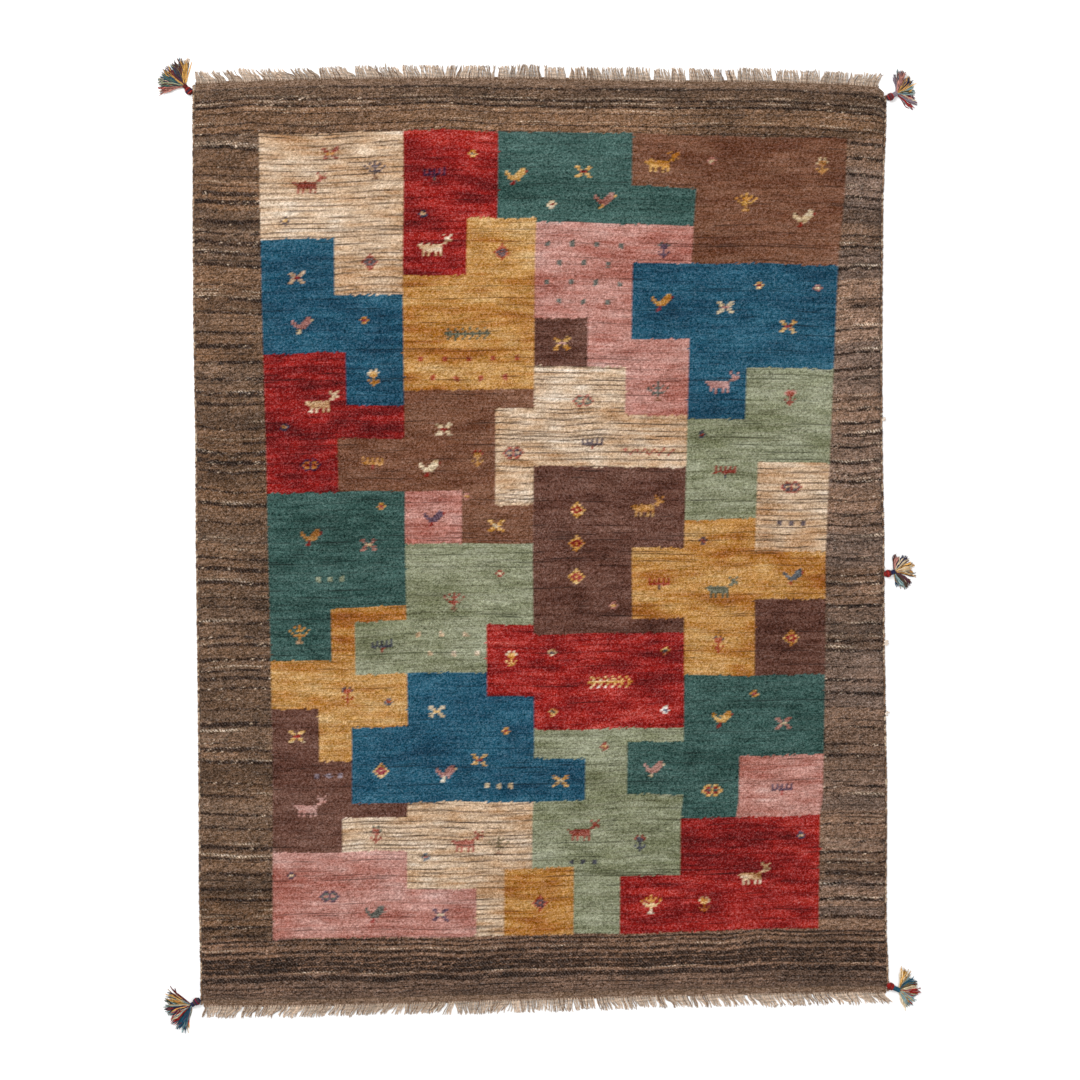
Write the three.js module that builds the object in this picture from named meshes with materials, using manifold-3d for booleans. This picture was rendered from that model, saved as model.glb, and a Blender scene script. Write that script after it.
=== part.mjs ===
// A hand-knotted gabbeh rug, lying flat: a thick wool pile with flat-woven ends, overcast side cords,
// short warp fringes at both ends and five small yarn tassels sewn to its edges.
// Millimetres, +Z up. The origin is the middle of the underside, +Y runs along the warps.
import * as THREE from "three";
import { mergeGeometries, mergeVertices } from "three/addons/utils/BufferGeometryUtils.js";
import Module from "manifold-3d";

const wasm = await Module();
wasm.setup();

// Driving dimensions of the woven sheet.
const HALF_WIDTH = 750;
const HALF_LENGTH = 1000;
const PILE_TOP = 12;
const WEB_THICKNESS = 3;
const END_WEB = 14;
const CORD_WIDTH = 6;
const CLEARANCE = 0.3;
const CORD_CLEARANCE = 0.45;
const UNEVEN = 0.7;

// Driving dimensions of what is knotted or sewn on.
const STRIP_WIDTH = 3;
const STRIP_HEIGHT = 2.6;
const FRINGE_SHORTEST = 24;
const FRINGE_LONGEST = 30;
const FRINGE_PITCH = 14.4;
const FRINGE_LOCK_WIDTH = 8.4;
const FRINGE_TIP_WIDTH = 5.5;
const FRINGE_TIP_HEIGHT = 1.6;
const FRINGE_LEAN_SPREAD = 5;
const KNOT_RADIUS = 8;
const KNOT_SEAT = 7;
const KNOT_RISE = 7.4;
const NECK_RADIUS = 4.6;
const TASSEL_LOCKS = 13;
const TASSEL_LOCK_WIDTH = 6;
const TASSEL_TIP_WIDTH = 8.5;
const TASSEL_CURL = 14;
const TIP_HEIGHT_SHARE = 0.75;
const SHORTEST_LOCK_SHARE = 0.84;
const LONGEST_LOCK_SHARE = 1.04;
const LOWER_LAYER = { height: 3.8, share: 1, rests: [0, 0, 0] };
const UPPER_LAYER = { height: 3.4, share: 0.9, rests: [5.2, 5.8, 3.6] };

// The edges of the rug: how far each runs from the origin at a place along it.
const LEFT_EDGE = [
  { at: -1012, out: -741 },
  { at: -770, out: -745 },
  { at: -540, out: -746 },
  { at: -310, out: -748 },
  { at: -10, out: -752 },
  { at: 220, out: -753 },
  { at: 450, out: -757 },
  { at: 680, out: -759 },
  { at: 1000, out: -759 },
];
const RIGHT_EDGE = [
  { at: -985, out: 759 },
  { at: -845, out: 753 },
  { at: -540, out: 754 },
  { at: -235, out: 749 },
  { at: -10, out: 748 },
  { at: 220, out: 744 },
  { at: 525, out: 744 },
  { at: 755, out: 746 },
  { at: 905, out: 752 },
  { at: 975, out: 753 },
];
const TOP_EDGE = [
  { at: -759, out: 997 },
  { at: -625, out: 1003 },
  { at: -460, out: 1008 },
  { at: -260, out: 1010 },
  { at: 0, out: 1009 },
  { at: 280, out: 1002 },
  { at: 475, out: 1002 },
  { at: 665, out: 996 },
  { at: 735, out: 990 },
  { at: 753, out: 973 },
];
const BOTTOM_EDGE = [
  { at: -741, out: -1012 },
  { at: -540, out: -1011 },
  { at: -340, out: -1007 },
  { at: -140, out: -1001 },
  { at: 60, out: -995 },
  { at: 260, out: -989 },
  { at: 460, out: -986 },
  { at: 660, out: -982 },
  { at: 759, out: -982 },
];

// How the pile's top rounds off: its height at a distance in from a side cord, and from the end of the web.
const SIDE_PROFILE = [
  { at: 0, out: 7 },
  { at: 3, out: 9.8 },
  { at: 8, out: 11.6 },
  { at: 20, out: 12 },
];
const END_PROFILE = [
  { at: 0, out: WEB_THICKNESS },
  { at: END_WEB, out: WEB_THICKNESS },
  { at: END_WEB + 1.5, out: 8.6 },
  { at: END_WEB + 4, out: 10.6 },
  { at: END_WEB + 10, out: 11.7 },
  { at: END_WEB + 26, out: PILE_TOP },
];

// The fringe's lean from straight out, in degrees, positive towards +X, at a place along the edge.
const TOP_LEAN = [
  { at: -755, out: -22 },
  { at: -680, out: -36 },
  { at: -540, out: -38 },
  { at: -330, out: -24 },
  { at: -150, out: 10 },
  { at: 120, out: -8 },
  { at: 420, out: -14 },
  { at: 620, out: 6 },
  { at: 740, out: 26 },
];
const BOTTOM_LEAN = [
  { at: -735, out: -16 },
  { at: -560, out: -34 },
  { at: -300, out: -26 },
  { at: -60, out: -6 },
  { at: 200, out: 22 },
  { at: 480, out: 28 },
  { at: 750, out: 36 },
];
// Where the fringe parts and a lock is missing.
const TOP_GAPS = [-682, -607, -98, 4, 58, 242, 320, 402, 508];
const BOTTOM_GAPS = [-648, -606, -548, -452, -205, 118, 322, 445, 590];

// The two fringes, with how many of the sheet's columns they stop short at the left and right corner.
const FRINGES = [
  { name: "top", edge: TOP_EDGE, leans: TOP_LEAN, gaps: TOP_GAPS, outward: 1, skipped: [1, 3] },
  { name: "bottom", edge: BOTTOM_EDGE, leans: BOTTOM_LEAN, gaps: BOTTOM_GAPS, outward: -1, skipped: [1, 1] },
];

// The cords overcast along the long sides, from their lower end to their upper end.
const SIDE_CORDS = [
  { name: "left", edge: LEFT_EDGE, inward: 1, from: -1009, to: 994 },
  { name: "right", edge: RIGHT_EDGE, inward: -1, from: -979, to: 971 },
];

// The tassels: the place of the knot along its side of the rug, the neck's run from the knot to the fan,
// the fan's middle and half spread in degrees, and its reach.
const TASSELS = [
  { name: "top_left", edge: LEFT_EDGE, at: 980, neck: [-9, 10], middle: 140, spread: 52, reach: 58 },
  { name: "top_right", edge: RIGHT_EDGE, at: 967, neck: [14, 5], middle: 22, spread: 74, reach: 48 },
  { name: "right", edge: RIGHT_EDGE, at: -70, neck: [14, 4], middle: 10, spread: 86, reach: 43 },
  { name: "bottom_left", edge: LEFT_EDGE, at: -1001, neck: [-11, -8], middle: 206, spread: 53, reach: 60 },
  { name: "bottom_right", edge: RIGHT_EDGE, at: -968, neck: [17, -8], middle: 2, spread: 73, reach: 46 },
];

const WOOL = {
  pile: { color: 0x6c5342, roughness: 0.95, metalness: 0 },
  cord: { color: 0x77624f, roughness: 0.9, metalness: 0 },
  fringe: { color: 0xbbab9c, roughness: 0.9, metalness: 0 },
  tassel: { color: 0x953a30, roughness: 0.9, metalness: 0 },
};

// The value of a table at a place, on a straight line from row to row.
function along(table, at) {
  const last = table.length - 1;
  if (at <= table[0].at) return table[0].out;
  if (at >= table[last].at) return table[last].out;
  const i = table.findIndex((row) => row.at > at) - 1;
  const t = (at - table[i].at) / (table[i + 1].at - table[i].at);
  return THREE.MathUtils.lerp(table[i].out, table[i + 1].out, t);
}

// A point of the sheet from shares across and along it, between the two side cords.
function sheetPoint(across, share) {
  const inset = CORD_WIDTH + CORD_CLEARANCE;
  let x = THREE.MathUtils.lerp(-HALF_WIDTH, HALF_WIDTH, across);
  let y = 0;
  for (let pass = 0; pass < 3; pass++) {
    y = THREE.MathUtils.lerp(along(BOTTOM_EDGE, x), along(TOP_EDGE, x), share);
    x = THREE.MathUtils.lerp(along(LEFT_EDGE, y) + inset, along(RIGHT_EDGE, y) - inset, across);
  }
  return new THREE.Vector2(x, y);
}

// The slow waves of a pile that has been walked on.
function waves(x, y) {
  return 0.5 * Math.sin(x / 61 + Math.sin(y / 140)) + 0.5 * Math.sin(y / 47 + 1.7 * Math.sin(x / 190));
}

// Line places for a grid: fine steps of a profile at both ends and even steps between, as shares of the size.
function gridLines(profile, size, steps) {
  const near = profile.map((row) => row.at / size);
  const first = near[near.length - 1];
  const even = Array.from({ length: steps - 1 }, (_, i) => first + ((1 - 2 * first) * (i + 1)) / steps);
  return [...near, ...even, ...near.map((s) => 1 - s).reverse()];
}

const width = 2 * (HALF_WIDTH - CORD_WIDTH);
const length = 2 * HALF_LENGTH;
const columns = gridLines(SIDE_PROFILE, width, 20);
const rows = gridLines(END_PROFILE, length, 28);

// The knotted sheet: a plane moved to the rug's outline and pile height, a wall and a flat underside.
function knottedSheet() {
  const nx = columns.length - 1;
  const ny = rows.length - 1;
  const top = new THREE.PlaneGeometry(1, 1, nx, ny);
  const place = top.getAttribute("position");
  const rim = [];
  for (let k = 0; k < place.count; k++) {
    const i = k % (nx + 1);
    const j = ny - Math.floor(k / (nx + 1));
    const p = sheetPoint(columns[i], rows[j]);
    const fromSide = Math.min(columns[i], 1 - columns[i]) * width;
    const fromEnd = Math.min(rows[j], 1 - rows[j]) * length;
    const height = Math.min(along(SIDE_PROFILE, fromSide), along(END_PROFILE, fromEnd));
    const pile = THREE.MathUtils.smoothstep(Math.min(fromSide, fromEnd - END_WEB), 4, 60);
    place.setXYZ(k, p.x, p.y, height - UNEVEN * pile * (0.5 + 0.5 * waves(p.x, p.y)));
  }
  const index = (i, j) => (ny - j) * (nx + 1) + i;
  for (let i = 0; i < nx; i++) rim.push(index(i, 0));
  for (let j = 0; j < ny; j++) rim.push(index(nx, j));
  for (let i = nx; i > 0; i--) rim.push(index(i, ny));
  for (let j = ny; j > 0; j--) rim.push(index(0, j));
  return closeBelow(top, rim);
}

// Closes a face that looks up: a wall straight down from its rim, and a flat floor at z = 0.
function closeBelow(top, rim) {
  const place = top.getAttribute("position");
  const high = rim.map((k) => new THREE.Vector3().fromBufferAttribute(place, k));
  const low = high.map((p) => new THREE.Vector3(p.x, p.y, 0));
  const wall = [];
  high.forEach((p, k) => {
    const next = (k + 1) % high.length;
    wall.push(low[k], low[next], high[next], low[k], high[next], p);
  });
  const flat = low.map((p) => new THREE.Vector2(p.x, p.y));
  for (const [a, b, c] of THREE.ShapeUtils.triangulateShape(flat, [])) wall.push(low[a], low[c], low[b]);
  const below = new THREE.BufferGeometry().setFromPoints(wall);
  return mergeGeometries([bare(top), below]);
}

// A geometry with its position alone, unindexed.
function bare(geometry) {
  const plain = geometry.index ? geometry.toNonIndexed() : geometry.clone();
  plain.deleteAttribute("normal");
  plain.deleteAttribute("uv");
  return plain;
}

// A closed geometry as a manifold-3d solid.
function solid(geometry) {
  const merged = mergeVertices(bare(geometry), 1e-4);
  const triVerts = new Uint32Array(merged.index.array);
  const vertProperties = merged.getAttribute("position").array;
  return new wasm.Manifold(new wasm.Mesh({ numProp: 3, vertProperties, triVerts }));
}

// Several geometries fused into one.
function fused(geometries) {
  const made = geometries.map(solid).reduce((a, b) => a.add(b));
  const { vertProperties, triVerts } = made.getMesh();
  const geometry = new THREE.BufferGeometry();
  geometry.setAttribute("position", new THREE.BufferAttribute(vertProperties, 3));
  geometry.setIndex(new THREE.BufferAttribute(triVerts, 1));
  return geometry;
}

// An overcast cord along one long side: an eight-sided rod with a flat to lie on.
function sideCord({ edge, inward, from, to }) {
  const sides = 8;
  const steps = 24;
  const radius = CORD_WIDTH / 2;
  const route = [];
  for (let k = 0; k <= steps; k++) {
    const y = THREE.MathUtils.lerp(from, to, k / steps);
    route.push(new THREE.Vector3(along(edge, y) + inward * radius, y, radius * Math.cos(Math.PI / sides)));
  }
  const section = new THREE.Shape();
  for (let k = 0; k < sides; k++) {
    const turn = ((k + 0.5) * 2 * Math.PI) / sides;
    const corner = [radius * Math.cos(turn), radius * Math.sin(turn)];
    if (k) section.lineTo(...corner);
    else section.moveTo(...corner);
  }
  return new THREE.ExtrudeGeometry(section, { extrudePath: new THREE.CatmullRomCurve3(route), steps });
}

// A repeatable spread of values from 0 to 1.
function scatter(k) {
  const s = Math.sin(k * 12.9898 + 4.1414) * 43758.5453;
  return s - Math.floor(s);
}

// A warp fringe: a narrow strip along the end of the web, with short leaning locks lying level on the floor.
// It leaves out some of the sheet's columns at its left and right corner.
function fringe({ edge, leans, gaps, outward, skipped }) {
  const shifted = (x, y, out) => new THREE.Vector2(x, y + outward * (CLEARANCE + out));
  const half = FRINGE_LOCK_WIDTH / 2;
  const kept = columns.slice(skipped[0], columns.length - skipped[1]);
  const ends = kept.map((share) => sheetPoint(share, outward > 0 ? 1 : 0));
  const [first, last] = [ends[0], ends[ends.length - 1]];
  const [from, to] = [first.x + half + CLEARANCE, last.x - half - CLEARANCE];
  const count = Math.floor((to - from) / FRINGE_PITCH);
  const outline = ends.map((p) => shifted(p.x, p.y, 0)).reverse();
  outline.push(shifted(first.x, first.y, STRIP_WIDTH));
  for (let k = 0; k <= count; k++) {
    const x = THREE.MathUtils.lerp(from, to, k / count);
    if (gaps.some((gap) => Math.abs(gap - x) < FRINGE_PITCH / 2)) continue;
    const lean = THREE.MathUtils.degToRad(along(leans, x) + FRINGE_LEAN_SPREAD * (scatter(k) - 0.5));
    const reach = THREE.MathUtils.lerp(FRINGE_SHORTEST, FRINGE_LONGEST, scatter(k + count));
    const tip = shifted(x + reach * Math.sin(lean), along(edge, x), STRIP_WIDTH + reach * Math.cos(lean));
    const across = new THREE.Vector2(Math.cos(lean), -outward * Math.sin(lean));
    across.setLength(FRINGE_TIP_WIDTH / 2);
    outline.push(shifted(x - half, along(edge, x - half), STRIP_WIDTH));
    outline.push(tip.clone().sub(across), tip.clone().add(across));
    outline.push(shifted(x + half, along(edge, x + half), STRIP_WIDTH));
  }
  outline.push(shifted(last.x, last.y, STRIP_WIDTH));
  const shape = new THREE.Shape(outline);
  const comb = new THREE.ExtrudeGeometry(shape, { depth: STRIP_HEIGHT, bevelEnabled: false });
  return thinned(comb, edge, outward);
}

// Lowers a fringe's top from its strip to its tips.
function thinned(comb, edge, outward) {
  const place = comb.getAttribute("position");
  for (let k = 0; k < place.count; k++) {
    if (place.getZ(k) === 0) continue;
    const out = outward * (place.getY(k) - along(edge, place.getX(k))) - 2 * STRIP_WIDTH;
    const share = THREE.MathUtils.clamp(out / FRINGE_SHORTEST, 0, 1);
    place.setZ(k, THREE.MathUtils.lerp(STRIP_HEIGHT, FRINGE_TIP_HEIGHT, share));
  }
  return comb;
}

// A lock of yarn: a three-sided rod with its flat side down, bent along a path of points and base heights,
// wider and lower towards its tip. It leaves its root in the given direction.
function lock(path, height, rootWay) {
  const steps = path.length - 1;
  const rod = new THREE.CylinderGeometry(1, 1, 1, 3, steps);
  const place = rod.getAttribute("position");
  for (let k = 0; k < place.count; k++) {
    const share = place.getY(k) + 0.5;
    const at = Math.round(share * steps);
    const here = path[at];
    const ahead = path[Math.min(at + 1, steps)];
    const behind = path[Math.max(at - 1, 0)];
    const way = at ? new THREE.Vector2(ahead.x - behind.x, ahead.y - behind.y).normalize() : rootWay;
    const width = THREE.MathUtils.lerp(TASSEL_LOCK_WIDTH, TASSEL_TIP_WIDTH, share);
    const side = (place.getX(k) / Math.sqrt(3)) * width;
    const up = ((place.getZ(k) + 0.5) / 1.5) * height * THREE.MathUtils.lerp(1, TIP_HEIGHT_SHARE, share);
    place.setXYZ(k, here.x + way.y * side, here.y - way.x * side, here.z + up);
  }
  return rod;
}

// A wound knot: a ball with a small flat to lie on, its poles along the rug's side.
function knotBall(x, y) {
  const ball = new THREE.SphereGeometry(KNOT_RADIUS, 10, 6);
  ball.translate(x, y, KNOT_RISE);
  const place = ball.getAttribute("position");
  for (let k = 0; k < place.count; k++) place.setZ(k, Math.max(place.getZ(k), 0));
  return ball;
}

// The bound neck from a knot to its fan: a six-sided rod, one of its flats on the floor.
function boundNeck(knot, fan) {
  const sides = 6;
  const beyond = fan.clone().sub(knot).setLength(NECK_RADIUS).add(fan);
  const rod = new THREE.CylinderGeometry(NECK_RADIUS, NECK_RADIUS, knot.distanceTo(beyond), sides);
  rod.rotateY(Math.PI / sides);
  rod.rotateZ(Math.atan2(beyond.y - knot.y, beyond.x - knot.x) - Math.PI / 2);
  rod.translate((knot.x + beyond.x) / 2, (knot.y + beyond.y) / 2, NECK_RADIUS * Math.cos(Math.PI / sides));
  return rod;
}

// A tassel: a wound knot against the edge, a bound neck, and a fan of locks in two layers on the floor.
function tassel({ edge, at, neck, middle, spread, reach }) {
  const side = along(edge, at);
  const knot = new THREE.Vector2(side + Math.sign(side) * KNOT_SEAT, at);
  const fan = new THREE.Vector2(...neck).add(knot);
  const locks = [];
  for (let k = 0; k < TASSEL_LOCKS; k++) {
    const layer = k % 2 ? UPPER_LAYER : LOWER_LAYER;
    const turn = THREE.MathUtils.degToRad(middle + spread * ((2 * k) / (TASSEL_LOCKS - 1) - 1));
    const curl = THREE.MathUtils.degToRad(TASSEL_CURL * (scatter(k + at) - 0.5));
    const share = THREE.MathUtils.lerp(SHORTEST_LOCK_SHARE, LONGEST_LOCK_SHARE, scatter(k + reach));
    const path = layer.rests.map((rest, i) => {
      const step = i / (layer.rests.length - 1);
      const far = reach * share * layer.share * step;
      const way = turn + curl * step;
      return new THREE.Vector3(fan.x + far * Math.cos(way), fan.y + far * Math.sin(way), rest);
    });
    const rootWay = new THREE.Vector2(Math.cos(turn), Math.sin(turn));
    locks.push(lock(path, layer.height, rootWay));
  }
  return fused([knotBall(knot.x, knot.y), boundNeck(knot, fan), ...locks]);
}

const rug = new THREE.Group();
function add(name, geometry, finish) {
  const mesh = new THREE.Mesh(geometry, new THREE.MeshStandardMaterial(finish));
  mesh.name = name;
  rug.add(mesh);
}

add("knotted_sheet", knottedSheet(), WOOL.pile);
for (const row of SIDE_CORDS) add(`side_cord_${row.name}`, sideCord(row), WOOL.cord);
for (const row of FRINGES) add(`fringe_${row.name}`, fringe(row), WOOL.fringe);
for (const row of TASSELS) add(`tassel_${row.name}`, tassel(row), WOOL.tassel);

export default rug;
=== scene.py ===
# %% [markdown]
# # A gabbeh rug
# A gabbeh is a thick rug, knotted by hand in wool. Here it lies flat on a pale floor, seen from straight
# above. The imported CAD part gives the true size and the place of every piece; this lesson dresses it:
# a woven foundation, a pile of knots in dyed and undyed wool, cords overcast along the sides, fringes of
# warp ends and five small tassels. Everything is in metres, with the floor at z = 0.

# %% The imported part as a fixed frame
import math

import bpy
import numpy as np
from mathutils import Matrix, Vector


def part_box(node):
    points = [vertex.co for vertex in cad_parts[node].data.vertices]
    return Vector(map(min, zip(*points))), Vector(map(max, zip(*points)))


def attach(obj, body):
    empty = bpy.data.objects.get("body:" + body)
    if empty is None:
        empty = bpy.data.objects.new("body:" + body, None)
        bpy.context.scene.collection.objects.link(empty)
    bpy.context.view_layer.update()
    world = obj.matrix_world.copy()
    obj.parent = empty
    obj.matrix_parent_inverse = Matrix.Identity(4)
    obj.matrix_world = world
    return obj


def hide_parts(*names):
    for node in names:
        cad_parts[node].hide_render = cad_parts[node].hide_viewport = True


MM = 0.001
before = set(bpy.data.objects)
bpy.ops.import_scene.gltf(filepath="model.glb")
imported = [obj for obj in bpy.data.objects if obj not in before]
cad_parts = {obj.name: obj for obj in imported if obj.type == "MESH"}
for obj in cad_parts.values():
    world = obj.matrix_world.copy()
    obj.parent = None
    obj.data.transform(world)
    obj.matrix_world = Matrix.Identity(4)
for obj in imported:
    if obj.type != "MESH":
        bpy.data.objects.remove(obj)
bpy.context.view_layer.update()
bpy.ops.object.select_all(action="DESELECT")
print("nodes:", sorted(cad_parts))

# %% [markdown]
# ## The camera
# The photo looks straight down on the rug, and its whole frame spans 2.348 m at the height of the pile.
# A long lens, far above, keeps the corners free of perspective.

# %% The camera
PILE_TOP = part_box("knotted_sheet")[1].z
VIEW_WIDTH = 2.348
VIEW_CENTRE = (-0.002, 0.003)
LENS = 85.0
SENSOR = 36.0
camera_height = PILE_TOP + VIEW_WIDTH * LENS / SENSOR
bpy.ops.object.camera_add(location=(*VIEW_CENTRE, camera_height), rotation=(0, 0, 0))
camera = bpy.context.object
camera.name = "camera"
camera.data.lens = LENS
camera.data.sensor_width = SENSOR
bpy.context.scene.camera = camera
print("camera height:", round(camera_height, 3))

# %% [markdown]
# ## The outline
# No side of a hand-woven rug is straight. The tables give, in millimetres, how far each edge of the rug
# and of its patterned field lies from the middle at a few places along it. They repeat the real outline,
# so the pattern narrows and leans as the loom let it.

# %% Edges of the rug and of its field
LEFT_EDGE = {
    "at": [-1012, -770, -540, -310, -10, 220, 450, 680, 1000],
    "out": [-741, -745, -746, -748, -752, -753, -757, -759, -759],
}
RIGHT_EDGE = {
    "at": [-985, -845, -540, -235, -10, 220, 525, 755, 905, 975],
    "out": [759, 753, 754, 749, 748, 744, 744, 746, 752, 753],
}
TOP_EDGE = {
    "at": [-759, -625, -460, -260, 0, 280, 475, 665, 735, 753],
    "out": [997, 1003, 1008, 1010, 1009, 1002, 1002, 996, 990, 973],
}
BOTTOM_EDGE = {
    "at": [-741, -540, -340, -140, 60, 260, 460, 660, 759],
    "out": [-1012, -1011, -1007, -1001, -995, -989, -986, -982, -982],
}
FIELD_LEFT = {
    "at": [-864, -453, -127, 25, 155, 525, 887],
    "out": [-580, -581, -588, -592, -594, -605, -611],
}
FIELD_RIGHT = {
    "at": [-840, -595, -562, -388, -214, -40, 623, 764, 875],
    "out": [606, 609, 615, 619, 621, 621, 650, 664, 668],
}
FIELD_TOP = {
    "at": [-611, -372, -209, 57, 294, 485, 667],
    "out": [887, 892, 895, 892, 885, 882, 876],
}
FIELD_BOTTOM = {
    "at": [-580, 13, 606],
    "out": [-864, -855, -840],
}


def along(table, at):
    """A table's value, in metres, at places given in metres."""
    return np.interp(at / MM, table["at"], table["out"]) * MM


middle_width = float(along(RIGHT_EDGE, 0.0) - along(LEFT_EDGE, 0.0))
print("width across the middle:", round(middle_width, 3), "m")

# %% [markdown]
# ## The loom's grid
# A rug is counted, not measured: every shape in it is a number of knots. This one has 288 knots across
# and 386 rows, about 5 mm each way. A place is given in knots, and one function carries it to the floor,
# evenly between the edges in the tables. Slow waves keep the rows from lying straight.

# %% From knots to the floor
COLUMNS = 288
ROWS = 386
BORDER_COLUMNS = {"left": 30, "right": 22}
BORDER_ROWS = {"bottom": 28, "top": 22}
COLUMN_STOPS = [0, BORDER_COLUMNS["left"], COLUMNS - BORDER_COLUMNS["right"], COLUMNS]
ROW_STOPS = [0, BORDER_ROWS["bottom"], ROWS - BORDER_ROWS["top"], ROWS]
RUG_WIDTH = 1.5
RUG_LENGTH = 2.0
END_WEB = 14 * MM
PILE_SIDE_INSET = 5 * MM
WAVE_HEIGHT = 2.6 * MM
WAVE = 0.071
WAVE_BEND = 2.1
BEND_LENGTH = 0.23
RIPPLE = 0.032
RIPPLE_SLANT = 0.11
RIPPLE_SHARE = 0.7
CALM_ROWS = 12
CALM_COLUMNS = 6
PASSES = 3


def between(place, stops, values):
    """The value at each place, on straight lines from stop to stop; each value may be an array."""
    out = values[0] + 0.0 * place
    for k in range(len(stops) - 1):
        share = np.clip((place - stops[k]) / (stops[k + 1] - stops[k]), 0, 1)
        out = out + share * (values[k + 1] - values[k])
    return out


def rug_place(column, row):
    """x and y on the floor, in metres, of places given in knots."""
    column, row = np.broadcast_arrays(np.asarray(column, float), np.asarray(row, float))
    x = (column / COLUMNS - 0.5) * RUG_WIDTH
    y = (row / ROWS - 0.5) * RUG_LENGTH
    for _ in range(PASSES):
        heights = [along(BOTTOM_EDGE, x) + END_WEB, along(FIELD_BOTTOM, x)]
        heights += [along(FIELD_TOP, x), along(TOP_EDGE, x) - END_WEB]
        y = between(row, ROW_STOPS, heights)
        sides = [along(LEFT_EDGE, y) + PILE_SIDE_INSET, along(FIELD_LEFT, y)]
        sides += [along(FIELD_RIGHT, y), along(RIGHT_EDGE, y) - PILE_SIDE_INSET]
        x = between(column, COLUMN_STOPS, sides)
    calm = np.clip(np.minimum(row, ROWS - row) / CALM_ROWS, 0, 1)
    calm = calm * np.clip(np.minimum(column, COLUMNS - column) / CALM_COLUMNS, 0, 1)
    wave = np.sin(x / WAVE + WAVE_BEND * np.sin(y / BEND_LENGTH))
    wave = wave + RIPPLE_SHARE * np.sin(x / RIPPLE + y / RIPPLE_SLANT)
    return x, y + 0.5 * WAVE_HEIGHT * calm * wave


field_corner = rug_place(BORDER_COLUMNS["left"], BORDER_ROWS["bottom"])
print("field corner:", [round(float(v), 3) for v in field_corner])

# %% [markdown]
# ## Wool
# Natural dyes give soft blues, reds and ochres, and undyed wool gives ivory and many browns. Colours are
# written as they look on a screen, 0 to 255, and made linear for the renderer.

# %% Dyes
WOOLS = {
    "ivory": (203, 171, 139),
    "blue": (34, 82, 104),
    "teal": (60, 91, 85),
    "sage": (140, 143, 115),
    "red": (144, 21, 15),
    "ochre": (184, 132, 70),
    "rose": (182, 126, 114),
    "brown": (119, 78, 57),
    "aubergine": (97, 62, 50),
    "border": (106, 80, 60),
    "light_border": (123, 97, 80),
    "grey_border": (117, 90, 73),
    "light_brown": (144, 117, 95),
    "pale_brown": (182, 160, 136),
    "dark_brown": (78, 60, 49),
    "black_brown": (48, 31, 21),
    "cream": (222, 200, 166),
    "indigo": (42, 44, 74),
    "crimson": (150, 38, 34),
    "plum": (88, 50, 60),
    "lilac": (136, 122, 132),
    "mist": (128, 152, 152),
    "olive": (104, 92, 58),
    "maroon": (96, 34, 30),
    "gold": (212, 160, 84),
    "undyed": (200, 184, 168),
    "warp": (204, 181, 160),
    "kilim": (112, 88, 70),
}
WOOL_NAMES = list(WOOLS)


def linear(colour):
    """Screen colours from 0 to 255 as linear light."""
    share = np.asarray(colour, float) / 255
    return np.where(share <= 0.04045, share / 12.92, ((share + 0.055) / 1.055) ** 2.4)


PALETTE = np.array([linear(WOOLS[name]) for name in WOOL_NAMES])


def wool_colour(name):
    """The linear colour of a wool."""
    return PALETTE[WOOL_NAMES.index(name)]


print("wools:", len(PALETTE))

# %% [markdown]
# ## The design
# The field is a patchwork of plain blocks, as many gabbehs have: each row of the table is a rectangle of
# one wool, with its left and top side and its size in knots, and later rows lie over earlier ones, which
# turns plain blocks into L, T and Z shapes. It is a layout of this lesson's own.

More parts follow.
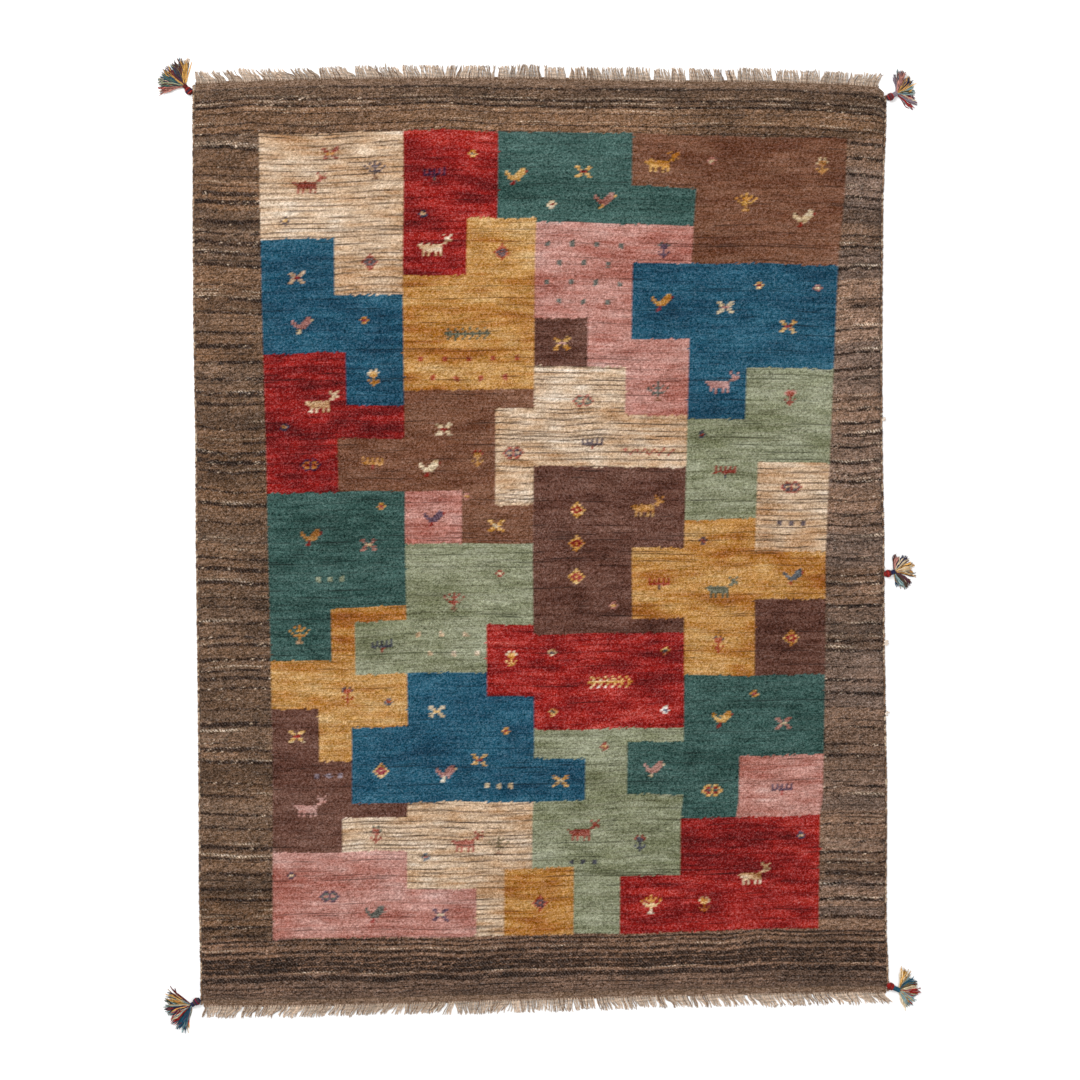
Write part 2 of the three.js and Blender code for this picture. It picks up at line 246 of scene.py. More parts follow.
# %% Blocks of the field
FIELD_COLUMNS = COLUMNS - sum(BORDER_COLUMNS.values())
FIELD_ROWS = ROWS - sum(BORDER_ROWS.values())
BLOCKS = [
    # wool, left, top, width, height
    ("ivory", 0, 0, 58, 44),
    ("blue", 0, 44, 58, 48),
    ("red", 0, 92, 58, 58),
    ("teal", 0, 150, 58, 48),
    ("ochre", 0, 198, 58, 64),
    ("aubergine", 0, 262, 58, 38),
    ("rose", 0, 300, 58, 36),
    ("red", 58, 0, 54, 60),
    ("ochre", 58, 60, 54, 48),
    ("brown", 58, 108, 54, 64),
    ("sage", 58, 172, 54, 54),
    ("blue", 58, 226, 54, 54),
    ("ivory", 58, 280, 54, 56),
    ("teal", 112, 0, 64, 38),
    ("rose", 112, 38, 64, 60),
    ("ivory", 112, 98, 64, 42),
    ("aubergine", 112, 140, 64, 70),
    ("red", 112, 210, 64, 40),
    ("sage", 112, 250, 64, 86),
    ("brown", 176, 0, 60, 54),
    ("blue", 176, 54, 60, 66),
    ("sage", 176, 120, 60, 42),
    ("ochre", 176, 162, 60, 66),
    ("teal", 176, 228, 60, 60),
    ("red", 176, 288, 60, 48),
    ("ivory", 30, 44, 28, 24),
    ("ochre", 84, 36, 28, 24),
    ("teal", 96, 0, 16, 36),
    ("blue", 34, 92, 24, 22),
    ("brown", 30, 128, 28, 22),
    ("rose", 150, 98, 26, 20),
    ("ivory", 96, 116, 16, 40),
    ("blue", 152, 54, 24, 32),
    ("brown", 150, 0, 26, 22),
    ("sage", 200, 98, 36, 22),
    ("ochre", 154, 174, 22, 30),
    ("teal", 0, 198, 26, 22),
    ("sage", 36, 204, 22, 22),
    ("blue", 34, 248, 24, 32),
    ("aubergine", 0, 240, 20, 22),
    ("rose", 58, 316, 30, 20),
    ("ivory", 30, 286, 28, 14),
    ("red", 92, 206, 20, 30),
    ("blue", 112, 262, 22, 18),
    ("teal", 152, 256, 24, 22),
    ("red", 150, 312, 26, 24),
    ("ochre", 100, 308, 30, 28),
    ("rose", 200, 262, 36, 26),
    ("ivory", 206, 138, 30, 38),
    ("aubergine", 206, 196, 30, 32),
    ("aubergine", 112, 78, 22, 20),
    ("rose", 58, 150, 24, 22),
]
chart = np.zeros((FIELD_ROWS, FIELD_COLUMNS), int)
for wool, left, top, width, height in BLOCKS:
    chart[top : top + height, left : left + width] = WOOL_NAMES.index(wool)
ground_chart = chart.copy()
print("blocks:", len(BLOCKS))

# %% [markdown]
# Small figures are strewn over the blocks: goats, birds, trees, stars and flowers, which weavers have used
# for centuries. Each is charted one character a knot: # is its first wool and o its second.

# %% Figures
FIGURES = {
    "goat": """
        ..........#..#.
        ...........##..
        ...........###.
        ..........##...
        ##########.....
        .#########.....
        ..########.....
        ..#.#..#.#.....
        ..#.#..#.#.....
        """,
    "bird": """
        ......##.
        #....###o
        ##..####.
        .######..
        ..####...
        ...o.....
        ..oo.....
        """,
    "tree": """
        .....#.....
        ...#.#.#...
        .#..###..#.
        ..#..#..#..
        ...#####...
        .....#.....
        .....o.....
        ....ooo....
        """,
    "branch": """
        .#..#..#..#..#..#..
        ..#..#..#..#..#..#.
        ###################
        ..#..#..#..#..#..#.
        .#..#..#..#..#..#..
        """,
    "comb": """
        #.#.#.#.#
        #.#.#.#.#
        #########
        ....o....
        ....o....
        """,
    "diamond": """
        ....#....
        ...###...
        ..#ooo#..
        .#oo#oo#.
        ..#ooo#..
        ...###...
        ....#....
        """,
    "rosette": """
        ..##.##..
        .#oo#oo#.
        #o..#..o#
        .#oo#oo#.
        ..##.##..
        """,
    "star": """
        ##...##
        .##.##.
        ..ooo..
        .##.##.
        ##...##
        """,
    "flower": """
        .o.o.
        o###o
        .###.
        ..#..
        #.#.#
        .###.
        ..#..
        """,
    "dots": """
        ##...##...##
        ##...##...##
        """,
    "ring": """
        .##.
        #oo#
        .##.
        """,
    "zigzag": """
        #...#...#...#...#...#
        .#.#.#.#.#.#.#.#.#.#.
        ..#...#...#...#...#..
        """,
}
print("charts:", len(FIGURES))

# %% [markdown]
# The first table places the figures on the blocks. The second one has a few areas that are sprinkled with
# specks of two knots by two, every other row of them shifted by half a step.

# %% Places of the figures
PLACED = [
    # figure, middle column, middle row, first wool, second wool
    ("goat", 20, 20, "red", "ochre"),
    ("diamond", 44, 54, "crimson", "indigo"),
    ("tree", 46, 16, "indigo", "brown"),
    ("star", 14, 60, "ivory", "red"),
    ("bird", 16, 80, "rose", "cream"),
    ("flower", 45, 102, "gold", "cream"),
    ("goat", 24, 112, "cream", "ochre"),
    ("rosette", 18, 138, "indigo", "gold"),
    ("comb", 44, 138, "ochre", "red"),
    ("bird", 18, 168, "ochre", "red"),
    ("star", 42, 172, "rose", "cream"),
    ("dots", 26, 186, "sage", "cream"),
    ("tree", 12, 209, "gold", "ivory"),
    ("flower", 32, 234, "red", "indigo"),
    ("star", 10, 251, "gold", "red"),
    ("goat", 16, 280, "rose", "ochre"),
    ("diamond", 46, 266, "gold", "crimson"),
    ("flower", 44, 293, "crimson", "teal"),
    ("rosette", 24, 318, "indigo", "teal"),
    ("comb", 70, 18, "indigo", "teal"),
    ("goat", 71, 47, "cream", "ochre"),
    ("bird", 103, 18, "gold", "red"),
    ("diamond", 98, 50, "red", "indigo"),
    ("branch", 84, 84, "teal", "teal"),
    ("star", 74, 124, "cream", "red"),
    ("flower", 88, 136, "ochre", "red"),
    ("rosette", 103, 134, "crimson", "indigo"),
    ("bird", 70, 161, "indigo", "red"),
    ("star", 96, 164, "gold", "cream"),
    ("tree", 78, 196, "crimson", "brown"),
    ("comb", 47, 214, "indigo", "red"),
    ("flower", 102, 220, "gold", "cream"),
    ("star", 70, 242, "cream", "gold"),
    ("star", 88, 262, "gold", "red"),
    ("bird", 74, 268, "rose", "cream"),
    ("goat", 84, 296, "crimson", "ochre"),
    ("star", 72, 326, "indigo", "cream"),
    ("diamond", 115, 322, "crimson", "indigo"),
    ("star", 130, 16, "gold", "red"),
    ("goat", 162, 11, "gold", "red"),
    ("flower", 164, 48, "indigo", "teal"),
    ("bird", 164, 70, "gold", "red"),
    ("star", 123, 88, "gold", "rose"),
    ("rosette", 132, 112, "crimson", "teal"),
    ("comb", 136, 130, "indigo", "crimson"),
    ("tree", 163, 108, "teal", "brown"),
    ("diamond", 130, 158, "gold", "crimson"),
    ("diamond", 130, 172, "gold", "crimson"),
    ("diamond", 130, 186, "gold", "crimson"),
    ("goat", 160, 156, "ochre", "red"),
    ("comb", 165, 189, "crimson", "indigo"),
    ("branch", 144, 230, "gold", "gold"),
    ("star", 123, 271, "gold", "cream"),
    ("bird", 163, 267, "rose", "cream"),
    ("goat", 134, 292, "crimson", "ochre"),
    ("flower", 158, 298, "indigo", "red"),
    ("tree", 163, 324, "gold", "cream"),
    ("tree", 196, 28, "gold", "ochre"),
    ("bird", 220, 34, "cream", "red"),
    ("star", 190, 72, "cream", "rose"),
    ("star", 216, 80, "gold", "red"),
    ("goat", 190, 104, "rose", "ochre"),
    ("flower", 218, 110, "crimson", "rose"),
    ("comb", 192, 142, "crimson", "indigo"),
    ("rosette", 220, 148, "crimson", "indigo"),
    ("dots", 221, 164, "indigo", "red"),
    ("goat", 192, 190, "teal", "red"),
    ("flower", 190, 214, "crimson", "indigo"),
    ("diamond", 221, 212, "gold", "crimson"),
    ("bird", 192, 246, "gold", "red"),
    ("star", 218, 248, "rose", "cream"),
    ("comb", 218, 276, "indigo", "crimson"),
    ("rosette", 188, 276, "gold", "red"),
    ("goat", 208, 312, "cream", "ochre"),
    ("star", 28, 8, "crimson", "gold"),
    ("ring", 10, 36, "indigo", "gold"),
    ("ring", 42, 78, "gold", "crimson"),
    ("ring", 8, 122, "blue", "cream"),
    ("ring", 48, 156, "gold", "crimson"),
    ("ring", 50, 237, "blue", "crimson"),
    ("dots", 24, 268, "lilac", "red"),
    ("bird", 44, 326, "teal", "crimson"),
    ("ring", 8, 309, "indigo", "cream"),
    ("ring", 86, 9, "gold", "teal"),
    ("ring", 66, 34, "blue", "cream"),
    ("bird", 68, 140, "cream", "red"),
    ("ring", 84, 152, "rose", "gold"),
    ("ring", 98, 184, "crimson", "cream"),
    ("ring", 100, 250, "gold", "crimson"),
    ("dots", 97, 273, "cream", "red"),
    ("ring", 66, 302, "blue", "crimson"),
    ("tree", 97, 298, "olive", "brown"),
    ("bird", 139, 28, "rose", "gold"),
    ("ring", 118, 30, "cream", "crimson"),
    ("ring", 146, 198, "rose", "gold"),
    ("ring", 120, 217, "cream", "blue"),
    ("ring", 168, 217, "gold", "teal"),
    ("ring", 120, 242, "gold", "teal"),
    ("ring", 168, 242, "cream", "blue"),
    ("ring", 142, 257, "crimson", "gold"),
    ("dots", 134, 306, "indigo", "red"),
    ("flower", 226, 12, "ochre", "cream"),
    ("ring", 182, 10, "rose", "cream"),
    ("ring", 228, 63, "rose", "cream"),
    ("ring", 204, 63, "gold", "crimson"),
    ("ring", 182, 126, "indigo", "crimson"),
    ("zigzag", 160, 133, "crimson", "red"),
    ("bird", 222, 186, "blue", "red"),
    ("ring", 184, 170, "indigo", "crimson"),
    ("ring", 206, 235, "gold", "crimson"),
    ("flower", 186, 324, "gold", "cream"),
    ("ring", 228, 296, "blue", "cream"),
]
SPRINKLED = [
    # left, top, width and height in knots, wool
    (62, 209, 28, 14, "ivory"),
    (64, 94, 42, 12, "crimson"),
    (116, 46, 32, 30, "teal"),
]
SPECK = 2
SPECK_ROWS = 8
SPECK_COLUMNS = 10
for figure, middle_column, middle_row, first, second in PLACED:
    marks = np.array([list(line) for line in FIGURES[figure].split()])
    high, wide = marks.shape
    top, left = middle_row - high // 2, middle_column - wide // 2
    part = chart[top : top + high, left : left + wide]
    part[marks == "#"] = WOOL_NAMES.index(first)
    part[marks == "o"] = WOOL_NAMES.index(second)
for left, top, width, height, wool in SPRINKLED:
    for k, row in enumerate(range(top, top + height, SPECK_ROWS)):
        shift = SPECK_COLUMNS // 2 * (k % 2)
        for place in range(left + shift, left + width, SPECK_COLUMNS):
            chart[row : row + SPECK, place : place + SPECK] = WOOL_NAMES.index(wool)
print("figures:", len(PLACED))

# %% [markdown]
# ## Colours on the loom
# The grid of the pile has one point for each knot along a row and two rows of points for each row of
# knots, and each point takes the wool of its knot in the chart. Now and then a tuft strays over its
# neighbour, and a point takes the wool next to it instead: that keeps the edges of blocks and figures soft.

# %% The wool of every point of the field
rng = np.random.default_rng(11)
HALF_ROWS = 2 * ROWS
GRID = (HALF_ROWS + 1, COLUMNS + 1)
STRAY = 0.2
QUARTER_ROW = 0.25
FIGURE_SHARE = 0.8


def soft_noise(shape, cell):
    """Smooth noise from 0 to 1, one random value for each cell of so many rows and columns."""
    rows, columns = (int(n / c) + 2 for n, c in zip(shape, cell))
    coarse = rng.random((rows, columns))
    at_rows = np.arange(shape[0]) / cell[0]
    at_columns = np.arange(shape[1]) / cell[1]
    tall = np.array([np.interp(at_rows, np.arange(rows), coarse[:, k]) for k in range(columns)]).T
    return np.array([np.interp(at_columns, np.arange(columns), line) for line in tall])


half_row, column = np.indices(GRID)
knot_row = np.rint(half_row / 2 - QUARTER_ROW + rng.normal(0, STRAY, GRID))
knot_row = knot_row.astype(int).clip(0, ROWS - 1)
knot_column = np.rint(column + rng.normal(0, STRAY, GRID)).astype(int).clip(0, COLUMNS - 1)
field_row = (ROWS - 1 - BORDER_ROWS["top"] - knot_row).clip(0, FIELD_ROWS - 1)
field_column = (knot_column - BORDER_COLUMNS["left"]).clip(0, FIELD_COLUMNS - 1)
ground = PALETTE[ground_chart[field_row, field_column]]
drawn = PALETTE[chart[field_row, field_column]]
dye = ground + FIGURE_SHARE * (drawn - ground)
print("points:", dye.shape)

# %% [markdown]
# The ivory blocks are of undyed wool, like the border, and have thin wavy brown lines every two or three
# rows: partly darker strands in the wool, partly painted shade where the rows of pile part. Some other
# wools show the same streaks more faintly.

# %% Streaks in the wools
DRIFT_ROWS = 60
LINE_STRENGTH = (0.7, 1)
STREAK_LINES = (3, 7, 1)
STREAK_WAVES = (2.2, 14)
STREAKED = {"ivory": 0.95, "sage": 0.3, "brown": 0.3, "ochre": 0.16, "teal": 0.12}


def wavy(values, wobble):
    """A value for each half row, read along lines that wander up and down by so many half rows."""
    at = (half_row + wobble).clip(0, len(values) - 1)
    return np.interp(at, np.arange(len(values)), values)


def wander(height, wavelength):
    """Slow vertical drift of the rows, in half rows, a little different from place to place."""
    return height * 2 * (soft_noise(GRID, (DRIFT_ROWS, wavelength)) - 0.5)


def crisp(values, wobble, gain=1.9, gap=0.25):
    """Like wavy, but a line that falls between two half rows stays sharp."""
    return np.clip(gain * wavy(values, wobble) - gap, 0, 1)


def patchy(noise, gain, gap, fray=1.0):
    """Noise from 0 to 1 made into patches of full strength with gaps of none between them."""
    return np.clip((gain * noise - gap) * fray, 0, 1)


def lines(nearest, farthest, thickest):
    """Strength of thin lines, from 0 to 1, at irregular distances, for each half row."""
    out = np.zeros(HALF_ROWS + 1)
    place = int(rng.integers(2, farthest))
    while place < HALF_ROWS - thickest:
        out[place : place + rng.integers(1, thickest + 1)] = rng.uniform(*LINE_STRENGTH)
        place += int(rng.integers(nearest, farthest))
    return out


def toward(colours, wool, share):
    """Colours blended toward a wool, by a share for each point."""
    return colours + (wool_colour(wool) - colours) * share[..., None]


def of_ground(table, other):
    """For each point, the table's value for the wool of its block, or the other where it has none."""
    values = np.array([table.get(name, other) for name in WOOL_NAMES])
    return values[ground_chart[field_row, field_column]]


gaps = patchy(soft_noise(GRID, (3, 9)), gain=3.6, gap=0.9, fray=0.7 + 0.6 * rng.random(GRID))
streak = crisp(lines(*STREAK_LINES), wander(*STREAK_WAVES), gain=1.7, gap=0.2)
streak = streak * gaps * of_ground(STREAKED, 0.0)
# dark brown streaks: partly darker strands, partly painted shade where the rows part
dye = toward(dye, "dark_brown", streak)
print("strongest streak:", round(float(streak.max()), 2))

# %% [markdown]
# The wide border is all undyed brown wool. Its tone changes a little from one batch of spinning to the
# next, every few rows. Thin near-black lines run through it, broken where their tufts sink and dotted with
# a few paler knots, and pale ones that show as a row of slanting strokes. The left, right and end borders
# were knotted at different times with other wool, so each has its own lines.

# %% Wool of the border
BATCH_ROWS = (6, 26)
WARMTH = 0.07
WARMER = np.array([1, 0, -1.4])
TREND_STOPS = np.array([0, 0.55, 0.7, 1]) * HALF_ROWS
BROWN_SPECKS = 0.10
LONG_BEADS, SHORT_BEADS = 0.55, 0.45
PALE_SHARE = 0.65
DARK_SHARE = 0.9
DARK_STROKES = 0.4
ABOVE = 3
ABOVE_STRENGTH = 0.8
LONE_LINES = (40, 110, 2)


def batch_tones(spread):
    """Tone and warmth of the wool for each half row, in runs of a few rows."""
    tone, warmth = [], []
    while len(tone) <= HALF_ROWS:
        run = int(rng.integers(*BATCH_ROWS))
        tone += [rng.uniform(1 - spread, 1 + spread)] * run
        warmth += [rng.uniform(-WARMTH, WARMTH)] * run
    return np.array(tone[: HALF_ROWS + 1]), np.array(warmth[: HALF_ROWS + 1])


def border_wool(base, trend, spread, unbroken, specks, dark_lines, pale_lines, wobble):
    """Colours and stroke strength of one side's border. The trend is its tone from the bottom up."""
    tone, warmth = batch_tones(spread)
    tone = tone * np.interp(np.arange(len(tone)), TREND_STOPS, trend)
    tone, warmth = wavy(tone, wobble), wavy(warmth, wobble)
    wool = wool_colour(base) * tone[..., None]
    wool = wool * (1 + warmth[..., None] * WARMER)
    frayed = 0.5 + rng.random(GRID)
    beads = LONG_BEADS * soft_noise(GRID, (5, 14)) + SHORT_BEADS * soft_noise(GRID, (2, 3))
    speckle = rng.random(GRID)
    dark = crisp(dark_lines, wobble) * patchy(beads, gain=7.5, gap=2.3 - unbroken, fray=frayed)
    patches = patchy(soft_noise(GRID, (5, 9)), gain=3.0, gap=1.1, fray=frayed)
    pale = crisp(pale_lines, wobble) * patches
    pale = np.maximum(pale, dark * (speckle < specks))
    dark = dark * (speckle > BROWN_SPECKS)
    wool = toward(wool, "pale_brown", PALE_SHARE * pale)
    wool = toward(wool, "black_brown", DARK_SHARE * dark)
    return wool, np.clip(pale + DARK_STROKES * dark, 0, 1)


def beside(dark_lines, share, alone):
    """Pale lines next to a share of the dark ones, and a few on their own."""
    above = np.roll(dark_lines, ABOVE) * (rng.random(len(dark_lines)) < share)
    return np.clip(ABOVE_STRENGTH * above + alone * lines(*LONE_LINES), 0, 1)


# %% [markdown]
# The table has a row for each side: its wool, how its tone goes from the bottom up, how close and thick its
# lines lie and how far they wander. Along both ends the last tufts are thin, and the brown wefts show.

# %% The four sides
BARE_START = 1.2
BARE_SHARE = 0.8
SIDES = [
    # side, (base wool, trend and spread of tone, how unbroken the dark lines are, share of pale specks),
    # spacing of the dark lines (nearest, farthest, thickest), pale lines (beside them, alone), waves
    ("left", ("border", (0.97, 0.97, 1.06, 1.06), 0.24, 0.2, 0.05), (7, 18, 4), (0.3, 1), (2.0, 15)),
    ("right", ("light_border", (0.92, 0.95, 1.24, 1), 0.36, 0.2, 0.05), (7, 17, 3), (0.3, 1), (2.2, 11)),
    ("top", ("border", (1, 1, 1, 1.14), 0.2, 1.8, 0.05), (5, 12, 2), (0.25, 1), (3.0, 26)),
    ("bottom", ("grey_border", (1, 1, 1, 1.04), 0.26, 1.2, 0), (4, 8, 4), (0.05, 0.3), (2.2, 16)),
]
at_bottom = knot_row < BORDER_ROWS["bottom"]
at_top = knot_row >= ROWS - BORDER_ROWS["top"]
at_end = at_bottom | at_top
at_left = (knot_column < BORDER_COLUMNS["left"]) & ~at_end
at_right = (knot_column >= COLUMNS - BORDER_COLUMNS["right"]) & ~at_end
side_points = {"left": at_left, "right": at_right, "top": at_top, "bottom": at_bottom}
strokes = np.zeros(GRID)
for side, look, spaced, pale_shares, waves in SIDES:
    dark_lines = lines(*spaced)
    pale_lines = beside(dark_lines, *pale_shares)
    wool, stroke = border_wool(*look, dark_lines, pale_lines, wander(*waves))
    where = side_points[side]
    dye[where] = wool[where]
    strokes[where] = stroke[where]
from_web = np.minimum(half_row, HALF_ROWS - half_row)
frayed_end = 0.25 + 0.5 * soft_noise(GRID, (3, 3))
bare = np.clip(BARE_START - from_web * frayed_end, 0, 1)
dye = toward(dye, "kilim", BARE_SHARE * bare)
strokes = strokes * (1 - bare)
print("points with pale strokes:", int((strokes > 0.5).sum()))

# %% [markdown]
# The dye never takes evenly: clouds from a few to some twenty centimetres wide, longer along the rows than
# across them, make every block lively. Where a wool took up more dye it is not only darker but also
# stronger in colour, so the clouds change the power of the colour. Along a row the tone holds for some ten
# knots, until the weaver's next strand of yarn, which is why the blocks look brushed from side to side.

# %% Clouds and single knots
CLOUDS = [
    # rows, columns, amount
    (40, 44, 0.20),
    (12, 24, 0.25),
    (5, 6, 0.22),
    (2, 30, 0.07),
]
LIVELY = {"red": 2.2, "blue": 1.3, "teal": 1.3, "ochre": 1.1, "aubergine": 1.5, "sage": 1.3}
DASHES = (2, 10)
DASH_AMOUNT = 0.24
DYE_DEPTH = 0.85
DEEPEST = 0.5
PALER = 0.6
BORDER_GRAIN = 0.27
FIELD_GRAIN = 0.10
TONE_RANGE = (0.3, 1.8)
cloud = np.zeros(GRID)
for rows, columns, amount in CLOUDS:
    cloud += amount * (soft_noise(GRID, (rows, columns)) - 0.5) * 2
is_border = at_end | at_left | at_right
cloud += np.where(is_border, 0, DASH_AMOUNT) * (soft_noise(GRID, DASHES) - 0.5) * 2
cloud = cloud * np.where(is_border, 1, of_ground(LIVELY, 1.0))
toned = dye * np.clip(1 + cloud, *TONE_RANGE)[..., None]
depth_of_dye = DYE_DEPTH / np.clip(-np.log(dye.max(axis=-1)), DEEPEST, None)
power = 1 - np.where(cloud > 0, PALER, 1) * cloud * depth_of_dye
soaked = dye.clip(1e-4, 1) ** power[..., None]
dye = np.where(is_border[..., None], toned, soaked)
grain = 1 + np.where(is_border, BORDER_GRAIN, FIELD_GRAIN) * rng.normal(0, 1, GRID)
dye = dye * grain.clip(*TONE_RANGE)[..., None]
print("tone from", round(float(1 + cloud.min()), 2), "to", round(float(1 + cloud.max()), 2))

# %% [markdown]
# ## Shaders
# Three helpers build the shaders: one adds a node with its settings, one works out a value from two others,
# and one gives noise on a stretched vector.

# %% Helpers for shader nodes


def add_node(tree, kind, **settings):
    """A shader node with some of its settings."""
    made = tree.nodes.new(kind)
    for name, value in settings.items():
        setattr(made, name, value)
    return made


def math_node(tree, operation, first, second):
    """A math node on two values, each a socket or a number."""
    made = add_node(tree, "ShaderNodeMath", operation=operation)
    for k, value in enumerate((first, second)):
        if isinstance(value, (int, float)):
            made.inputs[k].default_value = value
        else:
            tree.links.new(value, made.inputs[k])
    return made.outputs[0]


def noise_of(tree, vector, stretch, detail):
    """Noise around zero, from minus one half to one half, on a stretched vector."""
    mapping = add_node(tree, "ShaderNodeMapping")
    mapping.inputs["Scale"].default_value = stretch
    tree.links.new(vector, mapping.inputs["Vector"])
    noise = add_node(tree, "ShaderNodeTexNoise")
    noise.inputs["Scale"].default_value = 1.0
    noise.inputs["Detail"].default_value = detail
    tree.links.new(mapping.outputs["Vector"], noise.inputs["Vector"])
    return math_node(tree, "SUBTRACT", noise.outputs["Fac"], 0.5)


# %% [markdown]
# All the yarn is wool, so one group makes the small changes of tone that wool shows: from tuft to tuft,
# along a row, from fibre to fibre, and in slanting strokes where a pale lock lies over a dark one. On dark
# wools the changes grow stronger: that part is painted sheen, flecks of fibre tips that catch the light.
# Rows and strokes are laid on a UV map that counts knots, tufts and fibres on object coordinates.

# %% The wool group
ROW_SCALE = (0.12, 0.9, 1)
TUFT_SCALE = (210, 240, 210)
FIBRE_SCALE = (430, 470, 430)
HAIR_SCALE = (1150, 1150, 1150)
STROKE_SLANT = (4.6, 3.4, 0)
STROKE_WANDER = 8.5
LIGHT_GAIN = 0.62
DARK_WOOL_SHEEN = 0.15
DARK_START = 0.06
LEAST_TONE = 0.1
FADE = 0.35
TUFT_HEIGHT = 1.6
HAIR_HEIGHT = 0.6


def add_sockets(face):
    """The inputs and outputs of the wool group."""
    face.new_socket("Dye", in_out="INPUT", socket_type="NodeSocketColor")
    face.new_socket("Knots", in_out="INPUT", socket_type="NodeSocketVector")
    for name, value in (("Tuft", 0.5), ("Row", 0.3), ("Fibre", 0.8), ("Strokes", 0.0)):
        face.new_socket(name, in_out="INPUT", socket_type="NodeSocketFloat").default_value = value
    face.new_socket("Color", in_out="OUTPUT", socket_type="NodeSocketColor")
    face.new_socket("Height", in_out="OUTPUT", socket_type="NodeSocketFloat")


def slanting_wave(group, given, tuft):
    """A wave from minus one to one that slants across the knots and wanders from tuft to tuft."""
    slant = add_node(group, "ShaderNodeVectorMath", operation="DOT_PRODUCT")
    slant.inputs[1].default_value = STROKE_SLANT
    group.links.new(given.outputs["Knots"], slant.inputs[0])
    wandering = math_node(group, "MULTIPLY", tuft, STROKE_WANDER)
    wave = add_node(group, "ShaderNodeMath", operation="SINE")
    group.links.new(math_node(group, "ADD", slant.outputs["Value"], wandering), wave.inputs[0])
    return wave.outputs[0]


def wool_group():
    """Tone and fibre height of wool, from its dye and its place in knots, with painted sheen that is
    stronger on dark wools.
    """
    group = bpy.data.node_groups.new("wool_tone", "ShaderNodeTree")
    add_sockets(group.interface)
    given = add_node(group, "NodeGroupInput")
    result = add_node(group, "NodeGroupOutput")
    place = add_node(group, "ShaderNodeTexCoord")
    row = noise_of(group, given.outputs["Knots"], ROW_SCALE, 3)
    tuft = noise_of(group, place.outputs["Object"], TUFT_SCALE, 1)
    fibre = noise_of(group, place.outputs["Object"], FIBRE_SCALE, 1)
    hair = noise_of(group, place.outputs["Object"], HAIR_SCALE, 2)
    total = math_node(group, "MULTIPLY", slanting_wave(group, given, tuft), given.outputs["Strokes"])
    for value, name in ((tuft, "Tuft"), (row, "Row"), (fibre, "Fibre"), (hair, "Fibre")):
        share = math_node(group, "MULTIPLY", value, given.outputs[name])
        total = math_node(group, "ADD", total, share)
    light = add_node(group, "ShaderNodeSeparateColor", mode="HSV")
    group.links.new(given.outputs["Dye"], light.inputs[0])
    lit = math_node(group, "ADD", light.outputs[2], DARK_START)
    # painted sheen: the changes of tone grow on darker wools, like fibre tips that catch the light
    gain = math_node(group, "ADD", math_node(group, "DIVIDE", DARK_WOOL_SHEEN, lit), LIGHT_GAIN)
    total = math_node(group, "MULTIPLY", total, gain)
    tone = math_node(group, "MAXIMUM", math_node(group, "ADD", total, 1.0), LEAST_TONE)
    change = add_node(group, "ShaderNodeHueSaturation")
    group.links.new(given.outputs["Dye"], change.inputs["Color"])
    group.links.new(tone, change.inputs["Value"])
    faded = math_node(group, "SUBTRACT", 1.0, math_node(group, "MULTIPLY", total, FADE))
    group.links.new(faded, change.inputs["Saturation"])
    group.links.new(change.outputs["Color"], result.inputs["Color"])
    bumps = math_node(group, "ADD", math_node(group, "MULTIPLY", tuft, TUFT_HEIGHT), fibre)
    hairs = math_node(group, "MULTIPLY", hair, HAIR_HEIGHT)
    group.links.new(math_node(group, "ADD", bumps, hairs), result.inputs["Height"])
    return group


wool_tone = wool_group()
print("group:", wool_tone.name)

# %% [markdown]
# Each wool material reads its dye from a colour attribute, so that one material serves all the colours
# of a piece. A second attribute, called hollow, says how deep a point lies between the knots; less light
# reaches it, and the material darkens it a little more. A third one, called strokes, says where slanting
# strokes show in the border.

# %% Wool materials
WOOL_FINISH = {"Roughness": 0.95, "Specular IOR Level": 0.08, "Sheen Weight": 0.04, "Sheen Roughness": 0.6}
BUMP_HEIGHT = 1.2 * MM


def wool_material(name, tuft, row, fibre, bump, shade=0.0, strokes=0.0):
    """A matt wool whose dye comes from the colour attribute of its piece."""
    made = bpy.data.materials.new(name)
    made.use_nodes = True
    tree = made.node_tree
    shader = tree.nodes["Principled BSDF"]
    for socket, value in WOOL_FINISH.items():
        shader.inputs[socket].default_value = value
    dyed = add_node(tree, "ShaderNodeAttribute", attribute_name="dye")
    place = add_node(tree, "ShaderNodeUVMap", uv_map="knots")
    tone = add_node(tree, "ShaderNodeGroup", node_tree=wool_tone)
    tree.links.new(dyed.outputs["Color"], tone.inputs["Dye"])
    tree.links.new(place.outputs["UV"], tone.inputs["Knots"])
    for socket, value in (("Tuft", tuft), ("Row", row), ("Fibre", fibre)):
        tone.inputs[socket].default_value = value
    if strokes:
        stroked = add_node(tree, "ShaderNodeAttribute", attribute_name="strokes")
        strength = math_node(tree, "MULTIPLY", stroked.outputs["Fac"], strokes)
        tree.links.new(strength, tone.inputs["Strokes"])
    colour = tone.outputs["Color"]
    if shade:
        hollow = add_node(tree, "ShaderNodeAttribute", attribute_name="hollow")
        darker = add_node(tree, "ShaderNodeMix", data_type="RGBA", blend_type="MULTIPLY")
        darker.inputs["B"].default_value = (1 - shade, 1 - shade, 1 - shade, 1)
        tree.links.new(hollow.outputs["Fac"], darker.inputs["Factor"])
        tree.links.new(colour, darker.inputs["A"])
        colour = darker.outputs["Result"]
    tree.links.new(colour, shader.inputs["Base Color"])
    raised = add_node(tree, "ShaderNodeBump")
    raised.inputs["Strength"].default_value = bump
    raised.inputs["Distance"].default_value = BUMP_HEIGHT
    tree.links.new(tone.outputs["Height"], raised.inputs["Height"])
    tree.links.new(raised.outputs["Normal"], shader.inputs["Normal"])
    return made


